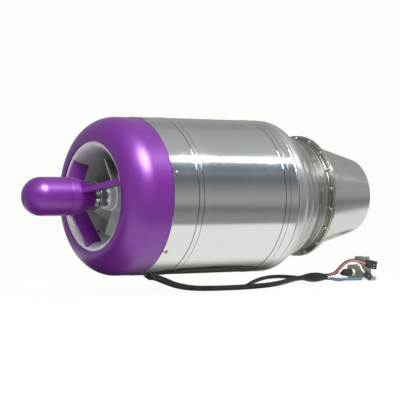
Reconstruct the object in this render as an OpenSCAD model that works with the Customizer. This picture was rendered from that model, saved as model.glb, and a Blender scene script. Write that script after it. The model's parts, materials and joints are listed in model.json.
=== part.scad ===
// Small turbojet engine for model aircraft: a purple intake cowl and starter pod on three
// struts, a polished can with two raised beads, a spun rear end and a bolted exhaust nozzle.
// Millimetres. X is the engine axis: air enters at -X and leaves at +X. +Z is up.
// The origin is the middle of the clean stretch of can that a mounting band clamps.
// Angles about the axis are counted from +Y towards +Z.

/* [Can] */
// Outside radius of the polished can
can_r = 65; // [62:0.5:70]
// Wall of the polished can
can_wall = 1; // [0.8:0.1:1.4]
// Clean length between the two raised beads
band_l = 83; // [75:1:90]
// Width of each raised bead
bead_w = 4.8; // [3:0.2:6]
// Height of each raised bead
bead_h = 0.25; // [0.1:0.05:0.3]
// Length of can ahead of the front bead
can_front_l = 23.9; // [22:0.1:28]
// Length of can behind the rear bead
can_rear_l = 9.3; // [7:0.1:12]

/* [Intake cowl] */
// How far the cowl stands under the can's surface
cowl_step = 0.4; // [0:0.1:0.8]
// Straight length of the cowl
cowl_straight_l = 15.8; // [12:0.1:20]
// Length of the cowl's rounded front
cowl_round_l = 21.6; // [19:0.1:25]
// Radius at the cowl's mouth
mouth_r = 44.4; // [43:0.1:46]
// Wall of the cowl
cowl_wall = 1.5; // [1:0.1:2]
// Length of the lip that turns back into the mouth
lip_l = 2.4; // [2:0.1:3]

/* [Compressor] */
// Distance of the wheel's back face ahead of the origin
wheel_back = 45; // [44:0.5:47]
// Length of the wheel from blade edge to back face
wheel_l = 39; // [36:0.5:40]
// Radius of the blade tips at the inlet
inducer_r = 36.2; // [34:0.1:37]
// Radius of the wheel at its outlet
exducer_r = 49; // [47:0.5:50]
// Height of the blades at the outlet
exducer_h = 4.5; // [3.5:0.1:6]
// Radius of the hub at the blades' inlet edge
hub_r = 13; // [11:0.5:15]
// Number of full blades, with as many short ones between them
full_blades = 9; // [6:1:11]
// Turn of each blade about the axis along its length
blade_wrap = 37; // [20:1:45]
// Thickness of a blade
blade_t = 0.9; // [0.6:0.1:1.4]
// Gap between the blade tips and the cover
tip_gap = 0.3; // [0.3:0.05:0.5]
// Wall of the compressor cover
cover_wall = 2; // [1.5:0.1:2.5]
// Number of diffuser vanes
diffuser_vanes = 15; // [11:1:21]
// Room between the diffuser's rim and the can
diffuser_gap = 4; // [3.4:0.1:6]

/* [Starter pod] */
// Radius of the pod
pod_r = 15.5; // [15.3:0.1:17]
// Length of the nose cap without its dome
nose_l = 21.1; // [18:0.1:24]
// Wall of the nose cap
nose_wall = 1.9; // [1.5:0.1:2]
// Length of the housing's cylindrical part
pod_l = 8.1; // [7:0.1:10]
// Length of the housing's tapered part
pod_taper_l = 16; // [14:0.5:18]
// Radius of the housing's rear end
pod_end_r = 10.8; // [10:0.1:12]
// Distance of the housing's rear end ahead of the compressor's blade edge
pod_gap = 24.7; // [24:0.1:27]
// Radius of the starter motor
motor_r = 12.4; // [11.5:0.1:12.6]
// Length of the starter motor's can
motor_l = 30; // [27:1:32]
// Radius of the motor's shaft
motor_shaft_r = 1.6; // [1.2:0.1:2]
// Thickness of a strut
strut_t = 4; // [3:0.2:5]
// Chord of a strut
strut_chord = 13.5; // [11:0.5:15]
// Lean of the struts towards the rear
strut_sweep = 34.8; // [30:0.2:38]
// Angle of the first strut
strut_angle = 42.5; // [30:0.5:60]
// Travel of the starter's clutch
clutch_travel = 5; // [3:0.5:5.5]

/* [Shaft and bearings] */
// Radius of the shaft in its tunnel
shaft_r = 6; // [5.5:0.1:6.5]
// Bore radius of the bearings
bearing_bore_r = 4; // [3.8:0.1:4.4]
// Outside radius of the bearings
bearing_r = 11; // [10.8:0.1:12]
// Width of a bearing
bearing_w = 7; // [6:0.5:8]
// Radius of the threaded shaft ends
thread_r = 3.5; // [3:0.1:3.7]
// Wall of the shaft tunnel
tunnel_wall = 4; // [3:0.5:5]
// Balls in a bearing
ball_count = 8; // [6:1:9]

/* [Combustion chamber] */
// Radius of the chamber's outer wall
chamber_r = 57.5; // [56:0.5:58.5]
// Radius of the chamber's inner wall
chamber_core_r = 24; // [21:0.5:27]
// Thickness of the chamber's sheet
chamber_t = 0.5; // [0.4:0.1:0.7]
// Air holes in each row
air_holes = 12; // [8:1:16]
// Radius of an air hole
air_hole_r = 3; // [2:0.1:3.5]
// Number of vaporiser tubes
vaporiser_count = 12; // [8:1:14]
// Radius of a vaporiser tube
vaporiser_r = 3; // [2.4:0.1:3.2]
// Radius of the circle that the vaporiser tubes stand on
vaporiser_pitch_r = 51; // [50.5:0.1:51.5]

/* [Turbine] */
// Radius of the turbine's blade tips
turbine_r = 42.5; // [41.5:0.1:43]
// Radius of the turbine disc
turbine_disc_r = 30; // [28:0.5:31]
// Number of turbine blades
turbine_blades = 23; // [17:1:27]
// Number of guide vanes ahead of the turbine
guide_vanes = 15; // [11:1:19]

/* [Rear end and exhaust] */
// Radius of the rounding from the can into the rear end
dome_round = 13.6; // [12:0.2:14]
// Straight run of the rear end before it rounds in
dome_flat_l = 3.4; // [2.5:0.1:5]
// Length of the rear end's neck up to the flange
neck_l = 32.9; // [32:0.1:36]
// Radius of the flange
flange_r = 52.8; // [52.4:0.1:54]
// Thickness of each bolted flange plate
flange_t = 1.2; // [0.8:0.1:1.6]
// Radius of the screw circle in the flange
flange_pitch_r = 50.8; // [50.7:0.1:51]
// Number of flange screws
flange_screws_n = 18; // [12:1:20]
// Length of the exhaust nozzle behind its flange
nozzle_l = 55.7; // [45:0.5:65]
// Radius at the nozzle's front
nozzle_r = 48; // [47.6:0.1:48.4]
// Radius at the nozzle's end
nozzle_end_r = 33.2; // [31:0.1:36]
// Sheet thickness of the rear end and nozzle
exhaust_t = 0.8; // [0.6:0.1:1]
// Length of the inner exhaust cone
tail_cone_l = 40; // [30:1:45]

/* [Screws] */
// Number of screws round the front of the can
can_screws_n = 6; // [6:1:12]
// Thread radius of the can and flange screws
screw_r = 0.95; // [0.8:0.05:1]
// Head radius of the can screws
can_head_r = 1.6; // [1.4:0.1:2]
// Head radius of the flange screws
flange_head_r = 1.3; // [1.2:0.05:1.4]

/* [Harness] */
// Radius of the thicker sheathed cable
cable_r = 2.25; // [2:0.05:2.25]
// Radius of the thinner sheathed cable
cable_b_r = 1.7; // [1.6:0.05:1.8]
// Radius of the shrunk sleeve that joins the cables
sleeve_r = 4.7; // [4.6:0.1:5]
// Radius of the ribbon lead of the three-pin plug
lead_r = 1.4; // [1:0.1:1.4]
// Radius of the blue tube
blue_r = 1.35; // [1:0.05:1.35]
// Radius of the thin wires
wire_r = 0.8; // [0.5:0.1:0.8]
// Radius of the booted connector
boot_r = 3.4; // [3:0.1:3.6]

/* [Fits] */
// Clearance between pieces that sit inside each other
fit = 0.05; // [0.03:0.01:0.08]

/* [Hidden] */
$fn = 64;

purple = [0.5, 0.2, 0.62];
polished = [0.82, 0.82, 0.83];
satin = [0.72, 0.73, 0.74];
heat_steel = [0.5, 0.47, 0.4];
dark_steel = [0.35, 0.34, 0.32];
black = [0.12, 0.12, 0.13];

// Stations along the axis
half_band = band_l / 2;
x_can_front = -half_band - bead_w - can_front_l;
x_can_rear = half_band + bead_w + can_rear_l;
x_round = x_can_front - cowl_straight_l;
x_lip = x_round - cowl_round_l;
x_edge = -wheel_back - wheel_l;
x_wheel_back = -wheel_back;
x_pod_end = x_edge - pod_gap;
x_taper = x_pod_end - pod_taper_l;
x_seam = x_taper - pod_l;
x_dome_centre = x_seam - nose_l;
can_bore_r = can_r - can_wall;
cowl_r = can_r - cowl_step;

// Compressor outlines
bell_front_r = mouth_r - 0.9;
rim_r = mouth_r - fit;
x_bell = x_lip + 1.2;
bell_l = x_edge - x_bell;
shroud_throat_r = inducer_r + tip_gap;
disc_rim = 1.5;
x_disc = x_wheel_back - disc_rim;
x_wall = x_disc - exducer_h - tip_gap;
shroud_l = x_wall - x_edge;
shroud_out_r = exducer_r + 0.4;
cover_rim_r = can_bore_r - fit;
cowl_bore_r = cowl_r - cowl_wall;
register_l = 6;
x_register = x_can_front - register_l;
x_can_screw = x_can_front + 3.8;
strut_screw_back = 16.5;
strut_screw_r0 = 34;
x_strut_screw = x_edge - strut_screw_back;
board_t = 1.6;
x_board = x_register - board_t;
sensor_r = 1.5;
x_sensor = x_edge - 2.3;
sensor_angle = 313;
diffuser_r = can_bore_r - diffuser_gap;
pump_pitch_r = can_bore_r - 14;

// Starter
nose_bore_r = pod_r - nose_wall;
x_motor_rear = x_taper + 0.7;
x_motor_front = x_motor_rear - motor_l;
clutch_r = 5.7;
clutch_ring_r = 0.8;
clutch_bore_r = clutch_r + 1.9;
x_clutch_front = x_pod_end + 4.1;
x_nut_front = x_clutch_front + 2.1;
nut_r = 8;
nut_recess_r = clutch_r + 0.9;
nut_recess_l = clutch_travel;
x_nut_rear = x_nut_front + 7.3;

// Rear end stations
dome_angle = 50;
x_round_rear = x_can_rear + dome_flat_l;
x_dome_end = x_round_rear + dome_round * sin(dome_angle);
sheet = exhaust_t + 0.4;

// Shaft line
x_boss = x_wheel_back + 2;
x_front_bearing = x_boss + 6;
x_front_shoulder = x_front_bearing + bearing_w;
spring_l = 1.5;
x_plate_rear = x_wheel_back + 5;
x_flange = x_dome_end + neck_l;
x_rear_plane = x_flange - 22.3;
x_rear_bearing = x_rear_plane - bearing_w;
tunnel_bore_r = 9;
diaphragm_t = 3;
x_vanes = x_rear_plane + 4;
x_disc_front = x_vanes + 14;
turbine_disc_l = 11;
x_disc_rear = x_disc_front + turbine_disc_l;

// Flange stack
vane_flange_t = 0.8;
x_vane_flange = x_flange + flange_t;
x_nozzle = x_vane_flange + vane_flange_t;
x_cone = x_nozzle + flange_t;
x_end = x_cone + nozzle_l;
nozzle_bore_r = nozzle_r - exhaust_t;
shroud_r = turbine_r + 0.4;
shroud_wall = 1;

inner_race_r = shaft_r;
outer_race_r = bearing_r - 2;

// Chamber and fuel
x_chamber = x_front_shoulder + 2;
x_shoulder = x_vanes - 24;
chamber_rear_r = shroud_r + shroud_wall + fit + chamber_t;
x_manifold = x_vanes - 4.5;
igniter_pitch_r = chamber_r - 17.5;
x_vaporiser = x_chamber + 40;
igniter_r = 1.8;
igniter_angle = 75;
probe_pitch_r = shroud_r + 2;
probe_r = 0.75;

// Rear skin
neck_t = exhaust_t + 0.2;
neck_end_r = nozzle_r + 0.7;
neck_start_r = can_r - dome_round + (dome_round - sheet - fit) * cos(dome_angle);
neck_drop = neck_start_r - neck_end_r;

// Harness
x_gland_rear = x_can_front + 15.7;
gland_gap = 0.12;
sleeve_y = 27;
sleeve_z = -74.2;
x_sleeve = [134, 160];
x_module = 194.5;
route_a = [
    [x_gland_rear, -11, -66.7], [-51.5, -11, -66.7], [-46.5, -11, -67.9], [-40, -11, -70.4],
    [-33, -10.5, -72.9], [-26, -10, -74.6], [-17, -10, -76.2], [-7, -10, -77.1], [4, -11, -77.4],
    [15, -12, -77.5], [26, -12.5, -77.5], [37, -11.5, -77.5], [48, -9, -77.5], [59, -5.5, -77.5],
    [70, -1, -77.5], [81, 4, -77.3], [92, 9, -76.9], [103, 14, -76.1], [113, 18.6, -75.2],
    [122, 22.4, -74.5], [130, 24.54, -74.2], [x_sleeve[0], 24.72, -74.2]];
route_b = [
    [x_gland_rear, -4.5, -67.4], [-51.5, -4.5, -67.4], [-46.5, -4.5, -68.6], [-40, -4.5, -71],
    [-33, -4.6, -73.4], [-26, -4.7, -75.3], [-17, -4.8, -76.9], [-7, -5, -77.8], [4, -5.5, -78.05],
    [15, -6, -78.05], [26, -6, -78.05], [37, -4.5, -78.05], [47, -0.5, -77.8], [56, 6.5, -77.1],
    [65, 14, -76.1], [74, 20.5, -75.1], [84, 26.2, -74], [94, 30.3, -73.1], [104, 32.6, -72.7],
    [113, 32.9, -72.8], [122, 31.2, -73.4], [130, 29.04, -74.15], [x_sleeve[0], 28.74, -74.2]];
route_servo = [
    [x_sleeve[1], 25.4, -72.75], [163, 25.6, -72.7], [167.2, 25.9, -72.1], [170.6, 25.9, -70.7],
    [173.5, 25.1, -68.2], [176.2, 23.6, -65], [179.3, 21.8, -61.8], [184.5, 20, -59.8],
    [190.5, 18.2, -59.8], [196.7, 17, -61.57], [200.6, 17, -62.4]];
route_blue = [
    [x_sleeve[1], 25.4, -75.7], [164, 25.4, -75.9], [169, 25.3, -76.4], [174, 24.8, -76.8],
    [180, 23.6, -76.9], [186, 21.8, -76.9], [192, 19.5, -76.9], [197, 19.5, -76.9]];
route_power = [
    [x_sleeve[1], 28.6, -72.7], [164, 28.8, -72.7], [169, 28.8, -72.4], [174, 28.4, -71.6],
    [178, 28.1, -71.1], [180, 28, -71]];
route_sensor = [
    [x_sleeve[1], 23.6, -74.2], [164, 23.6, -74.2], [168, 23.7, -73.8], [171.2, 23.4, -72.4],
    [173.8, 22.5, -69.8], [177.3, 20.8, -65.2], [182, 18.6, -62.2], [187.6, 17, -61.9],
    [192.2, 16.2, -64], [194.4, 15.7, -68.2], [197.5, 15.6, -71]];
route_red = [
    [x_sleeve[1], 28.8, -75.6], [164, 28.8, -76], [169, 28.5, -77], [174, 28.3, -77.9],
    [179, 28.8, -78.3], [185, 30.5, -78], [190.5, 31.5, -77], [x_module, 31.5, -77]];

// Radius of the bellmouth's flow surface at a distance ahead of the blade edge
function bell_at(d) = bell_front_r - (bell_front_r - shroud_throat_r) * sqrt(1 - pow(d / bell_l, 2));

// Outside radius of the chamber at a station on its rear slope
function slope_r(x) = chamber_r
    - (chamber_r - chamber_rear_r) * (x - x_shoulder) / (x_vanes - 3 - x_shoulder);

// Points on an ellipse: centre, half axes, angles from and to, counted from the radial axis
function arc(c, a, b, from, to, n) =
    [for (k = [0 : n]) let (t = from + (to - from) * k / n) [c[0] + a * sin(t), c[1] + b * cos(t)]];

// Rings of points along a route, each square to it
function cross_unit(u, v) = let (c = cross(u, v)) c / norm(c);
function heading(p, k) = let (d = p[min(k + 1, len(p) - 1)] - p[max(k - 1, 0)]) d / norm(d);
function end_heading(p, k) =
    k == 0 ? (p[1] - p[0]) / norm(p[1] - p[0])
    : k == len(p) - 1 ? (p[k] - p[k - 1]) / norm(p[k] - p[k - 1]) : heading(p, k);
function route_rings(p, r, n) = [
    for (k = [0 : len(p) - 1])
        let (d = end_heading(p, k), u = cross_unit(d, [0.13, 0.97, 0.21]), v = cross(d, u))
            [for (j = [0 : n - 1]) p[k] + r * (u * cos(360 * j / n) + v * sin(360 * j / n))]
];

// A closed solid through a row of rings that all have the same number of points
module loft(rings) {
    n = len(rings[0]);
    last = len(rings) - 1;
    sides = [for (k = [0 : last - 1], j = [0 : n - 1])
        let (a = k * n + j, b = k * n + (j + 1) % n) each [[a, b + n, b], [a, a + n, b + n]]];
    start_cap = [for (j = [1 : n - 2]) [0, j, j + 1]];
    end_cap = [for (j = [1 : n - 2]) [last * n, last * n + j + 1, last * n + j]];
    polyhedron(points = [for (r = rings) each r], faces = concat(sides, start_cap, end_cap));
}

// The last point of a route
function end_of(route) = route[len(route) - 1];

// A tube along a route
module tube(points, r, n = 8) {
    loft(route_rings(points, r, n));
}

// A solid turned about the engine axis from [x, radius] points
module turned(points) {
    rotate([0, 90, 0]) rotate_extrude() polygon([for (p = points) [p[1], p[0]]]);
}

// A plain ring about the axis
module ring(x0, x1, r_in, r_out) {
    turned([[x0, r_in], [x0, r_out], [x1, r_out], [x1, r_in]]);
}

// A rod along X at a radius and angle
module rod(x0, x1, pitch_r, angle, r) {
    rotate([angle, 0, 0]) translate([x0, pitch_r, 0]) rotate([0, 90, 0]) cylinder(h = x1 - x0, r = r);
}

// A rod that stands out from the axis
module spoke(x, r0, r1, angle, r) {
    rotate([angle, 0, 0]) translate([x, r0, 0]) rotate([-90, 0, 0]) cylinder(h = r1 - r0, r = r);
}

// Copies spaced evenly about the axis
module around(n, first = 0) {
    for (k = [0 : n - 1]) rotate([first + 360 * k / n, 0, 0]) children();
}

// ---- Starter pod ----

module nose_cap() {
    c = [x_dome_centre, 0];
    color(purple) turned(concat(
        [[x_seam, nose_bore_r], [x_seam, pod_r]],
        arc(c, -pod_r, pod_r, 0, 90, 14),
        arc(c, -nose_bore_r, nose_bore_r, 90, 0, 14)));
}

module strut_blank() {
    half = strut_t / 2;
    tail = 0.7;
    section = concat(
        [for (k = [0 : 6]) [half - half * cos(90 - k * 30), half * sin(90 - k * 30)]],
        [[strut_chord, -tail], [strut_chord, tail]]);
    translate([x_taper - 0.6, pod_r - 1.3, 0]) rotate([0, 0, -strut_sweep]) rotate([-90, 0, 0])
        linear_extrude(height = mouth_r - 8) polygon(section);
}

module starter_housing() {
    spigot_l = 3.2;
    bell = arc([x_edge, bell_front_r], -bell_l, -(bell_front_r - shroud_throat_r), 90, 0, 24);
    color(purple) difference() {
        union() {
            turned([
                [x_seam - spigot_l, 0], [x_seam - spigot_l, nose_bore_r - fit],
                [x_seam, nose_bore_r - fit], [x_seam, pod_r], [x_taper, pod_r],
                [x_pod_end, pod_end_r], [x_pod_end, 0]]);
            difference() {
                around(3, strut_angle) strut_blank();
                turned(concat(
                    [for (p = bell) [p[0], p[1] - fit]],
                    [[x_edge, can_r], [x_bell - fit, can_r], [x_bell - fit, bell_front_r - fit]]));
                strut_screw_holes(screw_r + fit);
            }
        }
        ring_bore(x_seam - spigot_l - 1, x_motor_rear, motor_r + fit);
        ring_bore(x_motor_rear - 1, x_pod_end + 1, clutch_bore_r);
    }
}

module ring_bore(x0, x1, r) {
    translate([x0, 0, 0]) rotate([0, 90, 0]) cylinder(h = x1 - x0, r = r);
}

module motor_can() {
    wall = 1;
    color(satin) turned([
        [x_motor_front + 3, motor_r - wall], [x_motor_front + 3, motor_r],
        [x_motor_rear, motor_r], [x_motor_rear, motor_shaft_r + fit],
        [x_motor_rear - wall, motor_shaft_r + fit], [x_motor_rear - wall, motor_r - wall]]);
}

module motor_end_cap() {
    terminal = [2.5, 0.6, 2];
    color(black) union() {
        ring(x_motor_front, x_motor_front + 3, motor_shaft_r + fit, motor_r);
        for (y = [-6, 6]) translate([x_motor_front - terminal[0] / 2, y, 0]) cube(terminal, center = true);
    }
}

module motor_magnets() {
    gap = 4;
    color(dark_steel) difference() {
        ring(x_motor_front + 7, x_motor_rear - 5, motor_r - 2.8, motor_r - 1 - fit);
        translate([x_motor_front, -gap / 2, -motor_r]) cube([motor_l, gap, 2 * motor_r]);
    }
}

module armature() {
    core_r = motor_r - 3.2;
    slot_w = 1.2;
    color([0.7, 0.4, 0.2]) difference() {
        union() {
            ring(x_motor_front + 8, x_motor_rear - 6, motor_shaft_r + 0.02, core_r);
            ring(x_motor_front + 4, x_motor_front + 8, motor_shaft_r + 0.02, motor_shaft_r + 2);
        }
        around(5) translate([x_motor_front + 7, core_r - 3, -slot_w / 2]) cube([motor_l, 4, slot_w]);
    }
}

module motor_shaft() {
    color(satin) ring_bore(x_motor_front - 0.5, x_pod_end - 3.3, motor_shaft_r);
}

module clutch() {
    bore = motor_shaft_r + fit;
    groove_r = clutch_r - 0.8;
    x0 = x_clutch_front - 14.4;
    color(satin) turned([
        [x0, bore], [x0, bore + 1.6], [x0 + 7, bore + 1.6], [x0 + 8, clutch_r],
        [x_clutch_front - 2.5, clutch_r], [x_clutch_front - 2.5, groove_r],
        [x_clutch_front - 0.7, groove_r], [x_clutch_front - 0.7, clutch_r - 0.3],
        [x_clutch_front - 0.4, clutch_r - 0.6], [x_clutch_front, clutch_r - 1],
        [x_clutch_front, 0], [x_clutch_front - 6.9, 0], [x_clutch_front - 6.9, bore]]);
}

module clutch_ring() {
    color(black) rotate([0, 90, 0]) translate([0, 0, x_clutch_front - 1.6])
        rotate_extrude() translate([clutch_r - 0.8 + clutch_ring_r, 0]) circle(r = clutch_ring_r - 0.02);
}

module clutch_spring() {
    wire = 0.35;
    coil_r = motor_shaft_r + 0.3 + wire;
    turns = 4;
    x0 = x_motor_rear + wire;
    x1 = x_clutch_front - 14.4 - wire;
    steps = turns * 10;
    color(satin) tube([for (k = [0 : steps])
        [x0 + (x1 - x0) * k / steps, coil_r * cos(36 * k), coil_r * sin(36 * k)]], wire, 6);
}

// ---- Intake ----

module intake_cowl() {
    c = [x_round, mouth_r + 0.8];
    a = cowl_round_l;
    b = cowl_r - c[1];
    lip_t = 1.6;
    color(purple) turned(concat(
        [[x_can_front, cowl_bore_r], [x_can_front, cowl_r]],
        arc(c, -a, b, 0, 90, 20),
        [[x_lip + 0.1, mouth_r + 0.4], [x_lip + 0.4, mouth_r + 0.1], [x_lip + 0.8, mouth_r],
         [x_lip + 0.8 + lip_l, mouth_r], [x_lip + 0.8 + lip_l, mouth_r + lip_t]],
        arc(c, -(a - cowl_wall), b - cowl_wall, 85, 0, 18)));
}

module compressor_cover() {
    throat = bell_front_r - shroud_throat_r;
    swell = shroud_out_r - shroud_throat_r;
    c_bell = [x_edge, bell_front_r];
    c_shroud = [x_edge, shroud_out_r];
    color(satin) difference() {
        turned(concat(
            arc(c_bell, -bell_l, -throat, 90, 0, 20),
            arc(c_shroud, shroud_l, -swell, 6, 90, 16),
            [[x_wall, cover_rim_r], [x_can_front, cover_rim_r],
             [x_can_front, cowl_bore_r - fit], [x_register, cowl_bore_r - fit],
             [x_register, cowl_bore_r - fit - cover_wall],
             [x_wall - 2.5, cowl_bore_r - fit - cover_wall]],
            arc([x_edge, shroud_out_r + cover_wall], shroud_l - 2.5, -swell, 84, 0, 12),
            arc([x_edge, bell_front_r + cover_wall], -bell_l, -throat, 6, 54, 8),
            [[x_bell + 4, rim_r], [x_bell, rim_r]]));
        can_screw_holes(screw_r + fit);
        strut_screw_holes(screw_r + fit);
        spoke(x_sensor, 30, shroud_throat_r + 12, sensor_angle, sensor_r + fit);
    }
}

// Screws that hold the strut ends, driven from inside the cowl
module strut_screw_holes(r) {
    for (k = [0 : 2]) spoke(x_strut_screw, strut_screw_r0 - 1, mouth_r, strut_angle + 120 * k, r);
}

module strut_screws() {
    seat_r = bell_at(strut_screw_back + can_head_r) + cover_wall + 0.02;
    color(dark_steel) for (k = [0 : 2]) {
        spoke(x_strut_screw, strut_screw_r0, seat_r, strut_angle + 120 * k, screw_r);
        spoke(x_strut_screw, seat_r, seat_r + 1.4, strut_angle + 120 * k, can_head_r);
    }
}

module controller_board() {
    inner = shroud_throat_r + 5;
    chip = 7;
    color([0.1, 0.35, 0.2]) union() {
        ring(x_board, x_register, inner, cowl_bore_r - 0.3);
        around(6, 60) translate([x_board - 1.4, inner + 5, -chip / 2]) cube([2, chip, chip]);
    }
}

module fuel_pump() {
    color(satin) union() {
        rod(x_board - 16, x_board, pump_pitch_r, 225, 5.5);
        rod(x_board - 19, x_board - 15, pump_pitch_r, 225, 3);
    }
}

module fuel_valves() {
    color(black) for (a = [190, 260]) rod(x_board - 12, x_board, pump_pitch_r, a, 3.5);
}

module speed_sensor() {
    color(black) spoke(x_sensor, shroud_throat_r + 1, shroud_throat_r + 7, sensor_angle, sensor_r);
}

// ---- Rotor ----

module compressor_nut() {
    bore = thread_r + 0.02;
    color(satin) turned([
        [x_nut_front, nut_recess_r], [x_nut_front, nut_r], [x_nut_rear - 0.8, nut_r],
        [x_nut_rear - 0.8, nut_r + 1], [x_nut_rear, nut_r + 1], [x_nut_rear, bore],
        [x_nut_front + nut_recess_l, bore], [x_nut_front + nut_recess_l, nut_recess_r]]);
}

// One compressor blade, from a station along its curve to the outlet
module compressor_blade(from) {
    steps = 9;
    sink = 0.8;
    tip_out = exducer_r - 0.2;
    hub_len = x_disc - x_edge;
    tip_len = x_wall + tip_gap - x_edge;
    loft([for (k = [0 : steps])
        let (
            t = from + (90 - from) * k / steps,
            turn = -blade_wrap * (1 - pow(1 - t / 90, 2)),
            hx = x_edge + (hub_len + sink) * sin(t),
            hr = min(exducer_r - (exducer_r - hub_r + sink) * cos(t), tip_out),
            tx = x_edge + tip_len * sin(t),
            tr = tip_out - (tip_out - inducer_r) * cos(t),
            ha = asin(blade_t / 2 / hr),
            ta = asin(blade_t / 2 / tr)
        ) [
            [hx, hr * cos(turn - ha), hr * sin(turn - ha)], [tx, tr * cos(turn - ta), tr * sin(turn - ta)],
            [tx, tr * cos(turn + ta), tr * sin(turn + ta)], [hx, hr * cos(turn + ha), hr * sin(turn + ha)]
        ]]);
}

module compressor_wheel() {
    blade_phase = 20.7;
    bore = thread_r + 0.02;
    color(satin) union() {
        turned(concat(
            [[x_nut_rear, bore], [x_nut_rear, nut_r + 1.2], [x_edge - 6, hub_r - 2.5],
             [x_edge - 5, hub_r - 2.5], [x_edge - 5, hub_r - 1.5]],
            arc([x_edge, exducer_r], x_disc - x_edge, -(exducer_r - hub_r), 0, 90, 14),
            [[x_wheel_back, exducer_r], [x_wheel_back, 14], [x_boss, 14], [x_boss, bore]]));
        around(full_blades, blade_phase) compressor_blade(1);
        around(full_blades, blade_phase + 180 / full_blades) compressor_blade(28);
    }
}

module rotor_shaft() {
    x_front = x_nut_front + nut_recess_l + 0.2;
    x_back = x_disc_rear + 5.5;
    color(satin) turned([
        [x_front, 0], [x_front, thread_r], [x_boss, thread_r], [x_boss, bearing_bore_r],
        [x_front_shoulder, bearing_bore_r], [x_front_shoulder, shaft_r], [x_rear_bearing, shaft_r],
        [x_rear_bearing, bearing_bore_r], [x_disc_rear, bearing_bore_r], [x_disc_rear, thread_r],
        [x_back, thread_r], [x_back, 0]]);
}

module front_spacer() {
    color(satin) ring(x_boss, x_front_bearing, bearing_bore_r + 0.02, inner_race_r);
}

module inner_races() {
    color(satin) for (x = [x_front_bearing, x_rear_bearing])
        ring(x, x + bearing_w, bearing_bore_r + 0.02, inner_race_r);
}

module outer_races() {
    color(satin) for (x = [x_front_bearing, x_rear_bearing])
        ring(x, x + bearing_w, outer_race_r, bearing_r);
}

// Balls of one bearing in their cage
module bearing_balls(x) {
    mid = x + bearing_w / 2;
    pitch = (inner_race_r + outer_race_r) / 2;
    ball_r = (outer_race_r - inner_race_r) / 2 - fit;
    x_cage = mid - ball_r - 1.2;
    color(satin) around(ball_count) translate([mid, pitch, 0]) sphere(r = ball_r);
    color([0.75, 0.6, 0.3]) union() {
        ring(x_cage, x_cage + 1, pitch - 0.7, pitch + 0.7);
        around(ball_count, 180 / ball_count) rod(x_cage + 0.5, mid + ball_r / 2, pitch, 0, 0.45);
    }
}

module front_balls() {
    bearing_balls(x_front_bearing);
}

module rear_balls() {
    bearing_balls(x_rear_bearing);
}

// A thin curved blade that stands out from a drum
module drum_blade(chord, bow, thick, r0, r1, stagger) {
    upper = [for (k = [0 : 6]) [chord * k / 6, bow * sin(30 * k)]];
    lower = [for (k = [0 : 6]) [chord - chord * k / 6, (bow - thick) * sin(30 * k) - 0.3]];
    translate([0, r0, 0]) rotate([-90, 0, 0]) linear_extrude(height = r1 - r0)
        rotate([0, 0, stagger]) translate([-chord / 2, -bow / 2]) polygon(concat(upper, lower));
}

module turbine_wheel() {
    blade_r = sqrt(pow(turbine_r, 2) - 9);
    bore = bearing_bore_r + 0.02;
    rim_r = turbine_disc_r - 3;
    color(dark_steel) union() {
        turned([
            [x_rear_plane, bore], [x_rear_plane, inner_race_r], [x_disc_front - 1, inner_race_r + 1],
            [x_disc_front + 2.5, 18], [x_disc_front, rim_r], [x_disc_front, turbine_disc_r],
            [x_disc_rear, turbine_disc_r], [x_disc_rear, rim_r], [x_disc_rear - 2.5, 18],
            [x_disc_rear, 9], [x_disc_rear, bore]]);
        around(turbine_blades) translate([(x_disc_front + x_disc_rear) / 2, 0, 0])
            drum_blade(9, 2.6, 1.5, turbine_disc_r - 1, blade_r, 28);
    }
}

module turbine_nut() {
    height = 4.5;
    color(satin) difference() {
        translate([x_disc_rear, 0, 0]) rotate([0, 90, 0]) cylinder(h = height, r = 6.5, $fn = 6);
        ring_bore(x_disc_rear - 1, x_disc_rear + height + 1, thread_r + 0.02);
    }
}

// ---- Core ----

module shaft_tunnel() {
    seat_r = bearing_r + fit;
    outer = seat_r + tunnel_wall;
    foot_r = outer + 15;
    x_seat = x_front_shoulder + spring_l;
    color(satin) turned([
        [x_plate_rear, seat_r], [x_plate_rear, foot_r], [x_plate_rear + 3, foot_r],
        [x_plate_rear + 6, outer], [x_rear_plane, outer], [x_rear_plane, seat_r],
        [x_rear_bearing, seat_r], [x_rear_bearing, tunnel_bore_r], [x_seat, tunnel_bore_r],
        [x_seat, seat_r]]);
}

module preload_spring() {
    color(satin) ring(x_front_shoulder, x_front_shoulder + spring_l, outer_race_r + 0.6, bearing_r - 0.1);
}

module diffuser() {
    x_front = x_disc + 0.2;
    vane_in = exducer_r + 1.5;
    vane_l = diffuser_r - 1.2 - vane_in;
    hub_clear = inner_race_r + 0.3;
    color(satin) union() {
        turned([
            [x_front, shroud_out_r], [x_front, diffuser_r], [x_plate_rear, diffuser_r],
            [x_plate_rear, bearing_r], [x_front_bearing, bearing_r], [x_front_bearing, outer_race_r + 0.2],
            [x_front_bearing - 2, outer_race_r + 0.2], [x_front_bearing - 2, hub_clear],
            [x_boss + 0.4, hub_clear], [x_boss + 0.4, 14.6], [x_wheel_back + 0.6, 14.6],
            [x_wheel_back + 0.6, shroud_out_r]]);
        around(diffuser_vanes) translate([x_wall, 0, 0]) rotate([90, 0, 90])
            linear_extrude(height = x_front - x_wall + 0.2)
            polygon([[vane_in, 0], [vane_in + vane_l * 0.482, 5.6], [vane_in + vane_l * 0.735, 12],
                [vane_in + vane_l, 9]]);
        around(2 * diffuser_vanes, 4) translate([x_wall, diffuser_r - 1, -0.5])
            cube([x_plate_rear + 6 - x_wall, cover_rim_r - diffuser_r + 0.99, 1]);
    }
}

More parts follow.
